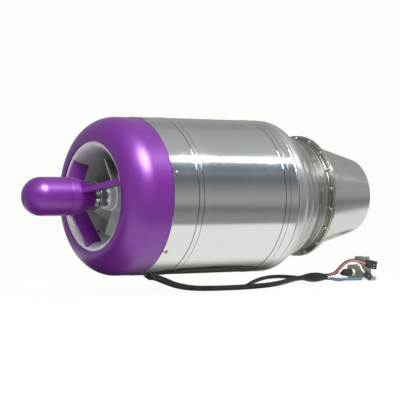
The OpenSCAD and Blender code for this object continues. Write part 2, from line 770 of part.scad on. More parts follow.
module chamber_outer() {
    t = chamber_t;
    x_last = x_vanes + 4;
    color(heat_steel) difference() {
        turned([
            [x_chamber, chamber_r - t], [x_chamber, chamber_r], [x_shoulder, chamber_r],
            [x_vanes - 3, chamber_rear_r], [x_last, chamber_rear_r], [x_last, chamber_rear_r - t],
            [x_vanes - 3.2, chamber_rear_r - t], [x_shoulder - 0.2, chamber_r - t]]);
        for (row = [0 : 2]) around(air_holes, 15 * row)
            spoke(x_chamber + 15 + 24 * row, chamber_r - 4, chamber_r + 4, 0, air_hole_r);
        around(vaporiser_count)
            rod(x_vaporiser - 1, x_vanes - 2, vaporiser_pitch_r, 0, vaporiser_r + fit);
    }
}

module chamber_inner() {
    t = chamber_t;
    rear_r = turbine_disc_r + fit + t;
    core = chamber_core_r;
    color(heat_steel) difference() {
        turned([
            [x_chamber, core - t], [x_chamber, core], [x_rear_plane - 8, core],
            [x_rear_plane, rear_r], [x_rear_plane + 3, rear_r], [x_rear_plane + 3, rear_r - t],
            [x_rear_plane, rear_r - t], [x_rear_plane - 7.8, core - t]]);
        for (row = [0 : 2]) around(air_holes, 15 * row)
            spoke(x_chamber + 18 + 28 * row, core - 3, core + 3, 0, air_hole_r - 0.5);
    }
}

module chamber_front() {
    color(heat_steel) difference() {
        ring(x_chamber - chamber_t, x_chamber, chamber_core_r - chamber_t, chamber_r);
        rod(x_chamber - 2, x_chamber + 2, igniter_pitch_r, igniter_angle, igniter_r + fit);
        around(air_holes) rod(x_chamber - 2, x_chamber + 2, chamber_r - 7, 0, air_hole_r - 1);
    }
}

module vaporisers() {
    x1 = x_vanes - 8;
    color(heat_steel) around(vaporiser_count) difference() {
        rod(x_vaporiser, x1, vaporiser_pitch_r, 0, vaporiser_r);
        rod(x_vaporiser - 1, x1 + 1, vaporiser_pitch_r, 0, vaporiser_r - 0.4);
    }
}

module fuel_manifold() {
    pitch = vaporiser_pitch_r;
    pipe_r = chamber_r + 1.7;
    rise = pipe_r - pitch;
    color(satin) union() {
        rotate([0, 90, 0]) translate([0, 0, x_manifold])
            rotate_extrude() translate([pitch, 0]) circle(r = 1.3);
        around(vaporiser_count) rod(x_manifold - 14, x_manifold, pitch, 0, 0.45);
        around(3, 15) spoke(x_manifold, slope_r(x_manifold - 0.8) + fit, pitch, 0, 0.8);
        rotate([190, 0, 0]) tube([
            [x_manifold - 0.5, pitch + rise * 0.061, 0], [x_manifold - 4.5, pitch + rise * 0.366, 0],
            [x_manifold - 9, pitch + rise * 0.561, 0], [x_manifold - 12, pitch + rise * 0.732, 0],
            [x_manifold - 16, pitch + rise * 0.927, 0], [x_manifold - 21, pipe_r, 0],
            [x_chamber, pipe_r, 0], [x_plate_rear, pipe_r, 0]], 0.7);
    }
}

module igniter() {
    color(satin) union() {
        rod(x_chamber - 8, x_chamber - chamber_t, igniter_pitch_r, igniter_angle, 3);
        rod(x_chamber - 1, x_chamber + 10, igniter_pitch_r, igniter_angle, igniter_r);
    }
}

module guide_vane_ring() {
    outer = shroud_r + shroud_wall;
    x_last = x_disc_rear + 1.5;
    disc_r = turbine_disc_r;
    color(dark_steel) difference() {
        union() {
            turned([
                [x_vanes, shroud_r], [x_vanes, outer], [x_vane_flange, outer], [x_vane_flange, flange_r],
                [x_nozzle, flange_r], [x_nozzle, outer], [x_last, outer], [x_last, shroud_r]]);
            turned([
                [x_rear_plane, inner_race_r + 0.3], [x_rear_plane, disc_r], [x_disc_front - 1.5, disc_r],
                [x_disc_front - 1.5, disc_r - 2.2], [x_rear_plane + diaphragm_t, disc_r - 2.2],
                [x_rear_plane + diaphragm_t, inner_race_r + 0.3]]);
            around(guide_vanes) translate([x_vanes + 6, 0, 0])
                drum_blade(11, 2.4, 1.4, disc_r - 0.5, shroud_r + 0.5, -30);
        }
        flange_holes();
        rod(x_vanes, x_nozzle + 1, probe_pitch_r, 100, probe_r + fit);
    }
}

module temperature_probe() {
    color(satin) rod(x_vanes + 5, x_disc_rear, probe_pitch_r, 100, probe_r);
}

// ---- Can and rear end ----

module can_screw_holes(r) {
    around(can_screws_n, 43) spoke(x_can_screw, can_r - 5, can_r + 2, 0, r);
}

module can() {
    ramp = 1.4;
    edge = 0.4;
    color(polished) difference() {
        turned([
            [x_can_front, can_bore_r], [x_can_front, can_r],
            [-half_band - bead_w, can_r], [-half_band - bead_w + ramp, can_r + bead_h],
            [-half_band - ramp, can_r + bead_h], [-half_band, can_r],
            [half_band, can_r], [half_band + ramp, can_r + bead_h],
            [half_band + bead_w - ramp, can_r + bead_h], [half_band + bead_w, can_r],
            [x_can_rear - edge, can_r], [x_can_rear, can_r - edge], [x_can_rear, can_bore_r]]);
        can_screw_holes(screw_r + fit);
    }
}

module can_screws() {
    head_h = 0.9;
    color(dark_steel) around(can_screws_n, 43) difference() {
        union() {
            spoke(x_can_screw, can_r - 3.8, can_r + 0.1, 0, screw_r);
            spoke(x_can_screw, can_r + 0.02, can_r + head_h, 0, can_head_r);
        }
        spoke(x_can_screw, can_r + head_h / 2, can_r + 2, 0, 0.7);
    }
}

module rear_dome() {
    c = [x_round_rear, can_r - dome_round];
    step = 0.4;
    x_spigot = x_can_rear - 5;
    spigot_r = can_bore_r - fit;
    color(polished) turned(concat(
        [[x_spigot, spigot_r - sheet], [x_spigot, spigot_r], [x_can_rear, spigot_r],
         [x_can_rear, can_r - step], [x_can_rear + step, can_r]],
        arc(c, dome_round, dome_round, 0, dome_angle, 10),
        arc(c, dome_round - sheet, dome_round - sheet, dome_angle, 0, 10)));
}

// Outline of the neck as shares of its length and of its drop in radius
neck_shape = [
    [0.05, 0.87], [0.11, 0.84], [0.215, 0.745], [0.29, 0.63], [0.337, 0.54], [0.444, 0.46],
    [0.535, 0.36], [0.61, 0.215], [0.825, 0.02], [0.875, 0]];

module exhaust_neck() {
    c = [x_round_rear, can_r - dome_round];
    round_r = dome_round - sheet - fit;
    skin = [for (p = neck_shape) [x_dome_end + neck_l * p[0], neck_end_r + neck_drop * p[1]]];
    bead = x_dome_end + neck_l * 0.875;
    inner_r = neck_end_r - neck_t;
    color(heat_steel) difference() {
        turned(concat(
            arc(c, round_r, round_r, 36, dome_angle, 5), skin,
            [[bead, neck_end_r + 0.6], [bead + 1.2, neck_end_r + 0.6], [bead + 1.2, neck_end_r],
             [x_flange, neck_end_r], [x_flange, flange_r], [x_vane_flange, flange_r],
             [x_vane_flange, inner_r]],
            [for (k = [len(skin) - 1 : -1 : 0]) [skin[k][0], skin[k][1] - neck_t]],
            arc(c, round_r - neck_t, round_r - neck_t, dome_angle, 36, 5)));
        flange_holes();
    }
}

module flange_holes() {
    around(flange_screws_n, 13) rod(x_flange - 1, x_cone + 1, flange_pitch_r, 0, screw_r + fit);
}

module flange_screws() {
    head_h = 1.3;
    color(dark_steel) around(flange_screws_n, 13) union() {
        rod(x_flange - head_h, x_flange, flange_pitch_r, 0, flange_head_r);
        rod(x_flange - 0.1, x_cone + 1.8, flange_pitch_r, 0, screw_r);
    }
}

module flange_nuts() {
    color(satin) around(flange_screws_n, 13) difference() {
        translate([x_cone, flange_pitch_r, 0]) rotate([0, 90, 0]) cylinder(h = 1.5, r = 1.9, $fn = 6);
        rod(x_cone - 1, x_cone + 3, flange_pitch_r, 0, screw_r + 0.02);
    }
}

module exhaust_nozzle() {
    color(dark_steel) difference() {
        turned([
            [x_nozzle, nozzle_bore_r], [x_nozzle, flange_r], [x_cone, flange_r], [x_cone, nozzle_r],
            [x_end, nozzle_end_r], [x_end, nozzle_end_r - exhaust_t], [x_cone, nozzle_bore_r]]);
        flange_holes();
    }
}

module tail_cone() {
    x0 = x_disc_rear + 2.5;
    x1 = x0 + tail_cone_l;
    root_r = turbine_disc_r - 0.5;
    outer = arc([x0, 0], tail_cone_l, root_r, 0, 70, 8);
    strut_l = 17;
    color(dark_steel) difference() {
        union() {
            turned(concat([[x0, 0]], outer, [[x0 + tail_cone_l * sin(70), 0]]));
            around(4, 45) translate([x0 + 7, root_r * 0.8, -0.5]) cube([strut_l, nozzle_r - root_r * 0.8, 1]);
        }
        turned(concat([[x0 - 1, 0], [x0 - 1, root_r - 0.8]],
            arc([x0, 0], tail_cone_l - 1, root_r - 0.8, 0, 66, 8), [[x1 - 6, 0]]));
        turned([
            [x_cone, nozzle_bore_r - fit], [x_cone, 60], [x_end, 60],
            [x_end, nozzle_end_r - exhaust_t - fit]]);
    }
}

// ---- Harness ----

module harness_gland() {
    color(black) difference() {
        translate([0, -1.6, 0]) rotate([90, 0, 0]) linear_extrude(height = 12.4)
            polygon([[x_gland_rear - 7.5, 5 - can_r], [x_gland_rear, 5 - can_r],
                [x_gland_rear, -can_r - 5], [x_gland_rear - 3.5, -can_r - 3],
                [x_gland_rear - 7.5, -can_r - 0.6]]);
        ring_bore(x_can_front, 0, can_r + gland_gap);
    }
}

module cable_a() {
    color(black) tube(route_a, cable_r, 10);
}

module cable_b() {
    color(black) tube(route_b, cable_b_r, 10);
}

// Sleeve: share of its length, half width and half height as shares of its radius
sleeve_shape = [
    [0, 1, 0.56], [0.1, 1, 0.66], [0.22, 0.99, 0.81], [0.36, 0.97, 0.91], [0.5, 0.94, 0.93],
    [0.66, 0.91, 0.89], [0.8, 0.88, 0.79], [0.9, 0.85, 0.68], [1, 0.82, 0.58]];

module cable_sleeve() {
    n = 20;
    sleeve_l = x_sleeve[1] - x_sleeve[0];
    color(black) loft([for (p = sleeve_shape) [for (j = [0 : n - 1])
        [x_sleeve[0] + sleeve_l * p[0], sleeve_y + sleeve_r * p[1] * cos(360 * j / n),
            sleeve_z + sleeve_r * p[2] * sin(360 * j / n)]]]);
}

module servo_lead() {
    color([0.75, 0.2, 0.15]) tube(route_servo, lead_r);
}

// A flat plug that lies on its lead's line: length, thickness, height
module flat_plug(end, tilt, size) {
    color(black) translate(end) rotate([0, tilt, 0]) difference() {
        union() {
            translate([0, -size[1] / 2, -size[2] * 0.42]) cube([4, size[1], size[2] * 0.84]);
            translate([3.5, -size[1] / 2, -size[2] / 2]) cube([size[0] - 3.5, size[1], size[2]]);
        }
        for (k = [-1 : 1]) translate([size[0] - 2.5, -0.5, k * size[2] / 3.6 - 0.5]) cube([4, 1, 1]);
    }
}

module servo_plug() {
    flat_plug(end_of(route_servo), 12, [12.5, 2.8, 7.6]);
}

module blue_tube() {
    color([0.2, 0.4, 0.8]) tube(route_blue, blue_r);
}

module tube_plug() {
    start = end_of(route_blue);
    x0 = start[0];
    color(satin) translate([0, start[1], start[2]]) turned([
        [x0, 0], [x0, blue_r], [x0 + 9, blue_r], [x0 + 9, 2.2], [x0 + 17, 2.2], [x0 + 17, 0]]);
}

module power_lead() {
    color(black) tube(route_power, 1.3);
}

module power_boot() {
    start = end_of(route_power);
    x0 = start[0];
    x1 = x_module;
    color(black) translate([0, start[1], start[2]]) turned([
        [x0, 0], [x0, boot_r - 1.4], [x0 + 2, boot_r - 0.4], [x0 + 5, boot_r],
        [x1 - 3, boot_r], [x1 - 3, boot_r - 0.3], [x1, boot_r - 0.3], [x1, 0]]);
}

module sensor_wire() {
    color([0.9, 0.9, 0.9]) tube(route_sensor, wire_r - 0.1);
}

module sensor_plug() {
    flat_plug(end_of(route_sensor), 34.6, [9, 2.8, 5]);
}

module red_wire() {
    color([0.8, 0.15, 0.1]) tube(route_red, wire_r);
}

module wire_module() {
    foot = [19.5, 12.5, 13.7];
    plate_l = 8;
    color([0.55, 0.52, 0.46]) translate([x_module, 24.5, -78]) union() {
        cube(foot);
        translate([9.2 + 1.5, 0, 0]) cube([plate_l - 2.5, foot[1], 21.2]);
        translate([9.2, 0, 17.4]) cube([plate_l, foot[1], 3.9]);
    }
}

nose_cap();
starter_housing();
motor_can();
motor_end_cap();
motor_magnets();
armature();
motor_shaft();
clutch();
clutch_ring();
clutch_spring();
intake_cowl();
compressor_cover();
strut_screws();
controller_board();
fuel_pump();
fuel_valves();
speed_sensor();
compressor_nut();
compressor_wheel();
rotor_shaft();
front_spacer();
inner_races();
turbine_wheel();
turbine_nut();
front_balls();
rear_balls();
outer_races();
preload_spring();
shaft_tunnel();
diffuser();
can();
can_screws();
rear_dome();
exhaust_neck();
flange_screws();
flange_nuts();
exhaust_nozzle();
tail_cone();
chamber_outer();
chamber_inner();
chamber_front();
vaporisers();
fuel_manifold();
igniter();
guide_vane_ring();
temperature_probe();
harness_gland();
cable_a();
cable_b();
cable_sleeve();
servo_lead();
servo_plug();
blue_tube();
tube_plug();
power_lead();
power_boot();
sensor_wire();
sensor_plug();
red_wire();
wire_module();
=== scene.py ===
"""Small turbojet engine for model aircraft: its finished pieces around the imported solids.

Metres throughout. X is the engine axis, air enters at -X; +Z is up.
The outlines of turned pieces are lists of (station, radius) in millimetres.
"""
import json
import math
import bmesh
import bpy
from mathutils import Matrix, Vector


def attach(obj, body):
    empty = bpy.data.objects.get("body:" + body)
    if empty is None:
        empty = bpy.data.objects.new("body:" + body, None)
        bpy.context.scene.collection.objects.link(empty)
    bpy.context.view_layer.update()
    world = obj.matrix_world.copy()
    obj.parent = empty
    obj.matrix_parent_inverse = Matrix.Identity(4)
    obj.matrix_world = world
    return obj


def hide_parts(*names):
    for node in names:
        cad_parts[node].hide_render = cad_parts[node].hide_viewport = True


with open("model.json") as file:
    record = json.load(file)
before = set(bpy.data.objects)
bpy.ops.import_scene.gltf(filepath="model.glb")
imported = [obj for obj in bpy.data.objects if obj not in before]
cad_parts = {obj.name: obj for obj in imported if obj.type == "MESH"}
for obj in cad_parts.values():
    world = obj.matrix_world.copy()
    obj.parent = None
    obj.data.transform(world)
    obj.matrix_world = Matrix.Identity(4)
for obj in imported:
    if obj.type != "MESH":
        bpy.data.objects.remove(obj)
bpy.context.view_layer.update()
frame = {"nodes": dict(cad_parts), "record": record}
NODES = frame["nodes"]

MM = 0.001
FLOOR_Z = -0.0801
ENGINE = "engine"

# stations and radii that several pieces share, in millimetres
CAN_RADIUS = 65
CAN_FRONT = -70.2
CAN_REAR = 56.2
POD_SEAM = -132.8       # where the nose cap meets the starter's housing
POD_RADIUS = 15.5
TURN_START = -84        # where the air, drawn straight in, starts to turn outwards
WHEEL_FRONT = -95.2     # where the nut bears on the compressor wheel
SHAFT_RADIUS = 3.52
NECK_RADIUS = 48.72
FLANGE_RADIUS = 52.8

scene = bpy.context.scene
scene.view_settings.view_transform = "Standard"


# ---------------------------------------------------------------- camera

def place_camera():
    azimuth, elevation, distance = math.radians(-34.82), math.radians(0.16), 1.3241
    back = Vector((math.sin(azimuth) * math.cos(elevation),
                   -math.cos(azimuth) * math.cos(elevation), math.sin(elevation)))
    data = bpy.data.cameras.new("camera")
    data.sensor_width = 36
    data.lens = 142.1
    data.shift_x = 0.0367
    data.shift_y = -0.0097
    camera = bpy.data.objects.new("camera", data)
    scene.collection.objects.link(camera)
    camera.location = Vector((-0.015, 0, 0)) + back * distance
    camera.rotation_euler = back.to_track_quat("Z", "Y").to_euler()
    scene.camera = camera


place_camera()


# ---------------------------------------------------------------- shader expressions

class Term:
    """A shader socket that takes part in sums and products written as Python."""

    def __init__(self, finish, socket):
        self.finish = finish
        self.socket = socket

    def _math(self, operation, *values):
        return self.finish.node("ShaderNodeMath", {"operation": operation}, dict(enumerate(values)))

    def __add__(self, other): return self._math("ADD", self, other)
    def __sub__(self, other): return self._math("SUBTRACT", self, other)
    def __rsub__(self, other): return self._math("SUBTRACT", other, self)
    def __mul__(self, other): return self._math("MULTIPLY", self, other)
    def __truediv__(self, other): return self._math("DIVIDE", self, other)
    def __rtruediv__(self, other): return self._math("DIVIDE", other, self)
    def __lt__(self, other): return self._math("LESS_THAN", self, other)
    def sine(self): return self._math("SINE", self)
    def size(self): return self._math("ABSOLUTE", self)
    def root(self): return self._math("SQRT", self)
    def angle_over(self, other): return self._math("ARCTAN2", self, other)

    __radd__ = __add__
    __rmul__ = __mul__

    def ramp(self, low, high):
        """0 below low, 1 above high, and a soft step between."""
        return self.finish.node("ShaderNodeMapRange", {"interpolation_type": "SMOOTHSTEP"},
                                {"Value": self, "From Min": low, "From Max": high})


class Finish:
    """One node tree, filled by small expressions."""

    def __init__(self, owner):
        self.material = owner
        self.tree = owner.node_tree
        self.tree.nodes.clear()

    def node(self, kind, settings=None, inputs=None, output=0):
        made = self.tree.nodes.new(kind)
        for name, value in (settings or {}).items():
            if name == "stops":
                self._stops(made.color_ramp, value)
            else:
                setattr(made, name, value)
        for name, value in (inputs or {}).items():
            socket = made.inputs[name]
            if isinstance(value, Term):
                self.tree.links.new(value.socket, socket)
            else:
                socket.default_value = value
        return Term(self, made.outputs[output]) if made.outputs else None

    @staticmethod
    def _stops(ramp, stops):
        while len(ramp.elements) < len(stops):
            ramp.elements.new(0.5)
        for element, (place, colour) in zip(ramp.elements, stops):
            element.position = place
            element.color = (*colour, 1)

    def place(self):
        return self.node("ShaderNodeTexCoord", output="Object")

    def parts(self, vector):
        split = self.node("ShaderNodeSeparateXYZ", inputs={0: vector})
        outs = split.socket.node.outputs
        return [Term(self, outs[i]) for i in range(3)]

    def join(self, x, y, z):
        return self.node("ShaderNodeCombineXYZ", inputs={0: x, 1: y, 2: z})

    def noise(self, vector, scale, detail=3.0, roughness=0.5):
        return self.node("ShaderNodeTexNoise", inputs={
            "Vector": vector, "Scale": scale, "Detail": detail, "Roughness": roughness})

    def mix(self, share, a, b):
        made = self.tree.nodes.new("ShaderNodeMix")
        made.data_type = "RGBA"
        for index, value in ((0, share), (6, a), (7, b)):
            if isinstance(value, Term):
                self.tree.links.new(value.socket, made.inputs[index])
            elif index:
                made.inputs[index].default_value = (*value, 1)
            else:
                made.inputs[index].default_value = value
        return Term(self, made.outputs[2])

    def bump(self, height, strength=1.0, distance=0.0001):
        return self.node("ShaderNodeBump", inputs={
            "Height": height, "Strength": strength, "Distance": distance})


FINISH = {}     # every finish, by its name


def new_finish(name):
    """Starts a finish: its node tree, and the call that closes it with a Principled surface."""
    FINISH[name] = material = bpy.data.materials.new(name)
    material.use_nodes = True
    finish = Finish(material)

    def close(**sockets):
        inputs = {}
        for key, value in sockets.items():
            inputs[key.replace("_", " ")] = (*value, 1) if isinstance(value, tuple) else value
        shader = finish.node("ShaderNodeBsdfPrincipled", inputs=inputs)
        finish.node("ShaderNodeOutputMaterial", inputs={0: shader})

    return finish, close


# ---------------------------------------------------------------- light, floor and surroundings

def add_soft_light(name, watts, size, location, axis_x, axis_y, seen_in_metal):
    """A rectangular light; axis_x and axis_y are the directions of its two sides."""
    data = bpy.data.lights.new(name, "AREA")
    data.shape = "RECTANGLE"
    data.size, data.size_y = size
    data.energy = watts
    lamp = bpy.data.objects.new(name, data)
    scene.collection.objects.link(lamp)
    x, y = Vector(axis_x).normalized(), Vector(axis_y).normalized()
    z = x.cross(y)
    lamp.matrix_world = Matrix(((x.x, y.x, z.x, location[0]), (x.y, y.y, z.y, location[1]),
                                (x.z, y.z, z.z, location[2]), (0, 0, 0, 1)))
    lamp.visible_glossy = seen_in_metal


PAPER = (0.98, 0.98, 0.958)


def grey(value):
    return (value, value, value * 1.01)


def light_studio():
    reach, rise = 1.5, math.radians(54.6)
    y, z = -math.cos(rise), math.sin(rise)
    add_soft_light("strip", 9.5, (4.2, 0.135), (0.75, reach * y, reach * z),
                   (1, 0, 0), (0, z, -y), True)
    turn, rise = math.radians(2), math.radians(50)
    away = Vector((math.sin(turn) * math.cos(rise), -math.cos(turn) * math.cos(rise), math.sin(rise)))
    across = Vector((math.cos(turn), math.sin(turn), 0))
    add_soft_light("soft_box", 18.5, (0.55, 0.58), Vector((-0.09, -0.05, 0.03)) + away * 1.2,
                   across, away.cross(across), True)
    add_soft_light("overhead", 24, (2.4, 2.4), (0, -0.2, 1.7), (1, 0, 0), (0, 1, 0), False)
    add_soft_light("side", 10, (1.6, 1.2), (-1.3, -1.2, 0.7), (0.68, -0.73, 0), (0.3, 0.28, 0.91), False)


def paint_surroundings():
    """White for the camera; for metal, a dim studio in bands about the engine's axis."""
    world = bpy.data.worlds.new("studio")
    scene.world = world
    world.use_nodes = True
    sky = Finish(world)
    x, y, z = sky.parts(sky.node("ShaderNodeTexCoord", output="Generated"))
    turn = z.angle_over(0 - y) / (2 * math.pi) + 0.5
    bands = sky.node("ShaderNodeValToRGB", {"stops": [
        (0.0, grey(0.30)), (0.49, grey(0.33)), (0.506, grey(0.31)), (0.519, grey(0.264)),
        (0.531, grey(0.236)), (0.543, grey(0.205)), (0.556, (0.158, 0.168, 0.174)),
        (0.569, (0.133, 0.145, 0.155)),
        (0.582, (0.145, 0.158, 0.171)), (0.594, (0.21, 0.238, 0.268)), (0.607, (0.151, 0.188, 0.227)),
        (0.62, (0.174, 0.219, 0.256)), (0.64, (0.30, 0.33, 0.36)), (0.676, (0.45, 0.48, 0.50)),
        (0.691, (0.414, 0.449, 0.467)), (0.722, (0.414, 0.431, 0.431)), (0.756, grey(0.41)),
        (0.792, grey(0.38)), (0.815, grey(0.36)), (0.84, grey(0.305)), (0.87, grey(0.30)),
        (0.904, grey(0.337)), (1.0, grey(0.36))]}, {0: turn})
    path = sky.node("ShaderNodeLightPath")
    camera_ray = Term(sky, path.socket.node.outputs["Is Camera Ray"])
    glossy_ray = Term(sky, path.socket.node.outputs["Is Glossy Ray"])
    bands = sky.mix(x.ramp(0.7, 0.85), bands, grey(0.36))
    seen = sky.mix(glossy_ray, (0.55, 0.55, 0.56), bands)
    seen = sky.mix(camera_ray, seen, PAPER)
    background = sky.node("ShaderNodeBackground", inputs={"Color": seen, "Strength": 1.0})
    sky.node("ShaderNodeOutputWorld", inputs={0: background})


def lay_floor():
    """A pale table top. Metal sees a white sheet that ends a hand's width in front of the engine,
    a dim room beyond it, and below it a painted shadow of the engine, drawn as emission."""
    bpy.ops.mesh.primitive_plane_add(size=8, location=(0, 0, FLOOR_Z))
    floor = bpy.context.object
    floor.name = "floor"
    finish, _ = new_finish("table_top")
    x, y, z = finish.parts(finish.place())
    path = finish.node("ShaderNodeLightPath")
    camera_ray = Term(finish, path.socket.node.outputs["Is Camera Ray"])
    glossy_ray = Term(finish, path.socket.node.outputs["Is Glossy Ray"])
    reach, room = 0.15, 0.2
    ahead = (y - 0.03).size() - 0.03 + x.ramp(0.1, 0.3) * 0.045 - (1 - x.ramp(-0.1, -0.07)) * 0.02
    closeness = reach / (ahead + room)
    # the stops from 0.025 onwards are the engine's painted shadow, as metal sees it
    shades = [(9.0, grey(0.33)), (0.72, grey(0.334)), (0.44, grey(0.273)), (0.32, grey(0.207)),
              (0.25, grey(0.181)), (0.207, (0.228, 0.24, 0.24)), (0.176, (0.254, 0.268, 0.268)),
              (0.135, (0.27, 0.28, 0.28)), (0.127, (0.30, 0.31, 0.305)), (0.121, (0.85, 0.86, 0.825)),
              (0.032, (0.84, 0.85, 0.81)), (0.025, (0.70, 0.71, 0.66)), (0.017, (0.31, 0.305, 0.285)),
              (0.008, (0.155, 0.15, 0.13)), (-0.007, (0.045, 0.043, 0.03)), (-0.03, (0.03, 0.03, 0.02))]
    bands = finish.node("ShaderNodeValToRGB", {"stops": [
        (reach / (room + distance), colour) for distance, colour in shades]}, {0: closeness})
    # the painted shadow fades out behind the engine's rear
    behind = x.ramp(0.07, 0.12) * (1 - ahead.ramp(0.03, 0.05))
    bands = finish.mix(behind, bands, (0.84, 0.85, 0.81))
    cloth = finish.node("ShaderNodeBsdfDiffuse", inputs={"Color": (0.9, 0.9, 0.88, 1)})
    white = finish.node("ShaderNodeEmission", inputs={"Color": (*PAPER, 1), "Strength": 1.0})
    mirrored = finish.node("ShaderNodeEmission", inputs={"Color": bands, "Strength": 1.0})
    both = finish.node("ShaderNodeMixShader", inputs={0: camera_ray * 0.97, 1: cloth, 2: white})
    every = finish.node("ShaderNodeMixShader", inputs={0: glossy_ray, 1: both, 2: mirrored})
    finish.node("ShaderNodeOutputMaterial", inputs={0: every})
    floor.data.materials.append(finish.material)


light_studio()
paint_surroundings()
lay_floor()


# ---------------------------------------------------------------- routes of the harness

# points placed one by one, in millimetres
ROUTE_A = [
    (-54.5, -11, -66.7), (-51.5, -11, -66.7), (-46.5, -11, -67.9), (-40, -11, -70.4),
    (-33, -10.5, -72.9), (-26, -10, -74.6), (-17, -10, -76.2), (-7, -10, -77.1), (4, -11, -77.4),
    (15, -12, -77.5), (26, -12.5, -77.5), (37, -11.5, -77.5), (48, -9, -77.5), (59, -5.5, -77.5),
    (70, -1, -77.5), (81, 4, -77.3), (92, 9, -76.9), (103, 14, -76.1), (113, 18.6, -75.2),
    (122, 22.4, -74.5), (130, 24.54, -74.2), (134, 24.72, -74.2)]
ROUTE_B = [
    (-54.5, -4.5, -67.4), (-51.5, -4.5, -67.4), (-46.5, -4.5, -68.6), (-40, -4.5, -71),
    (-33, -4.6, -73.4), (-26, -4.7, -75.3), (-17, -4.8, -76.9), (-7, -5, -77.8), (4, -5.5, -78.05),
    (15, -6, -78.05), (26, -6, -78.05), (37, -4.5, -78.05), (47, -0.5, -77.8), (56, 6.5, -77.1),
    (65, 14, -76.1), (74, 20.5, -75.1), (84, 26.2, -74), (94, 30.3, -73.1), (104, 32.6, -72.7),
    (113, 32.9, -72.8), (122, 31.2, -73.4), (130, 29.04, -74.15), (134, 28.74, -74.2)]
ROUTE_SERVO = [
    (160, 25.4, -72.75), (163, 25.6, -72.7), (167.2, 25.9, -72.1), (170.6, 25.9, -70.7),
    (173.5, 25.1, -68.2), (176.2, 23.6, -65), (179.3, 21.8, -61.8), (184.5, 20, -59.8),
    (190.5, 18.2, -59.8), (196.7, 17, -61.57), (200.6, 17, -62.4)]
ROUTE_BLUE = [
    (160, 25.4, -75.7), (164, 25.4, -75.9), (169, 25.3, -76.4), (174, 24.8, -76.8),
    (180, 23.6, -76.9), (186, 21.8, -76.9), (192, 19.5, -76.9), (197, 19.5, -76.9)]
ROUTE_POWER = [
    (160, 28.6, -72.7), (164, 28.8, -72.7), (169, 28.8, -72.4), (174, 28.4, -71.6),
    (178, 28.1, -71.1), (180, 28, -71)]
ROUTE_SENSOR = [
    (160, 23.6, -74.2), (164, 23.6, -74.2), (168, 23.7, -73.8), (171.2, 23.4, -72.4),
    (173.8, 22.5, -69.8), (177.3, 20.8, -65.2), (182, 18.6, -62.2), (187.6, 17, -61.9),
    (192.2, 16.2, -64), (194.4, 15.7, -68.2), (197.5, 15.6, -71)]
ROUTE_RED = [
    (160, 28.8, -75.6), (164, 28.8, -76), (169, 28.5, -77), (174, 28.3, -77.9),
    (179, 28.8, -78.3), (185, 30.5, -78), (190.5, 31.5, -77), (194.5, 31.5, -77)]


def smooth_path(route, spacing=1.0):
    """Points in metres, about spacing millimetres apart, on a smooth curve through the route."""
    points = [Vector(p) for p in route]
    ends = [points[0] * 2 - points[1]] + points + [points[-1] * 2 - points[-2]]
    path = []
    for a, b, c, d in zip(ends, ends[1:], ends[2:], ends[3:]):
        steps = max(2, round((c - b).length / spacing))
        for k in range(steps):
            t = k / steps
            path.append(0.5 * (2 * b + (c - a) * t + (2 * a - 5 * b + 4 * c - d) * t ** 2
                               + (3 * b - a - 3 * c + d) * t ** 3))
    path.append(points[-1])
    return [p * MM for p in path]


def path_length(path):
    return sum((b - a).length for a, b in zip(path, path[1:]))


def frames_along(path):
    """For each point: its place, and two directions square to the path that turn as little as they can."""
    side = Vector((0.1, 0.97, 0.2))
    result = []
    for k, place in enumerate(path):
        ahead = (path[min(k + 1, len(path) - 1)] - path[max(k - 1, 0)]).normalized()
        side = (side - ahead * side.dot(ahead)).normalized()
        result.append((place, side, ahead.cross(side)))
    return result


def tube_into(mesh, path, radius, sides, material_index=0, offset=None):
    """Adds a closed tube along the path, with a map that runs round it and along it."""
    uv = mesh.loops.layers.uv.verify()
    rings, run, along = [], 0.0, []
    for k, (place, side, lift) in enumerate(frames_along(path)):
        if k:
            run += (path[k] - path[k - 1]).length
        along.append(run)
        centre = place + (offset(k, side, lift) if offset else Vector())
        thick = radius(run) if callable(radius) else radius
        rings.append([mesh.verts.new(centre + thick * (
            side * math.cos(2 * math.pi * j / sides) + lift * math.sin(2 * math.pi * j / sides)))
            for j in range(sides)])
    for k in range(len(rings) - 1):
        for j in range(sides):
            n = (j + 1) % sides
            face = mesh.faces.new((rings[k][j], rings[k][n], rings[k + 1][n], rings[k + 1][j]))
            face.smooth = True
            face.material_index = material_index
            corners = ((j, k), (j + 1, k), (j + 1, k + 1), (j, k + 1))
            for loop, (u, v) in zip(face.loops, corners):
                loop[uv].uv = (u / sides, along[v] * 100)
    for ring in (list(reversed(rings[0])), rings[-1]):
        mesh.faces.new(ring).material_index = material_index


def new_mesh(name, fill):
    """A mesh object made by fill(bmesh)."""
    mesh = bmesh.new()
    fill(mesh)
    data = bpy.data.meshes.new(name)
    mesh.to_mesh(data)
    mesh.free()
    made = bpy.data.objects.new(name, data)
    scene.collection.objects.link(made)
    return made


def dress(piece, slot, *replaces, body=ENGINE, looks=None):
    """Gives a piece its slot, the solids that it stands for, its body, and its finishes:
    the slot's own one, unless looks are given."""
    # clearing would reset the strands' own numbers, so an empty list is left alone
    if len(piece.data.materials):
        piece.data.materials.clear()
    for look in looks or [slot]:
        piece.data.materials.append(FINISH[look])
    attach(piece, body)
    if replaces:
        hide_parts(*replaces)
    return piece


# ---------------------------------------------------------------- finishes

SKEW = 0.73     # how far a tool line's place shifts with its radius


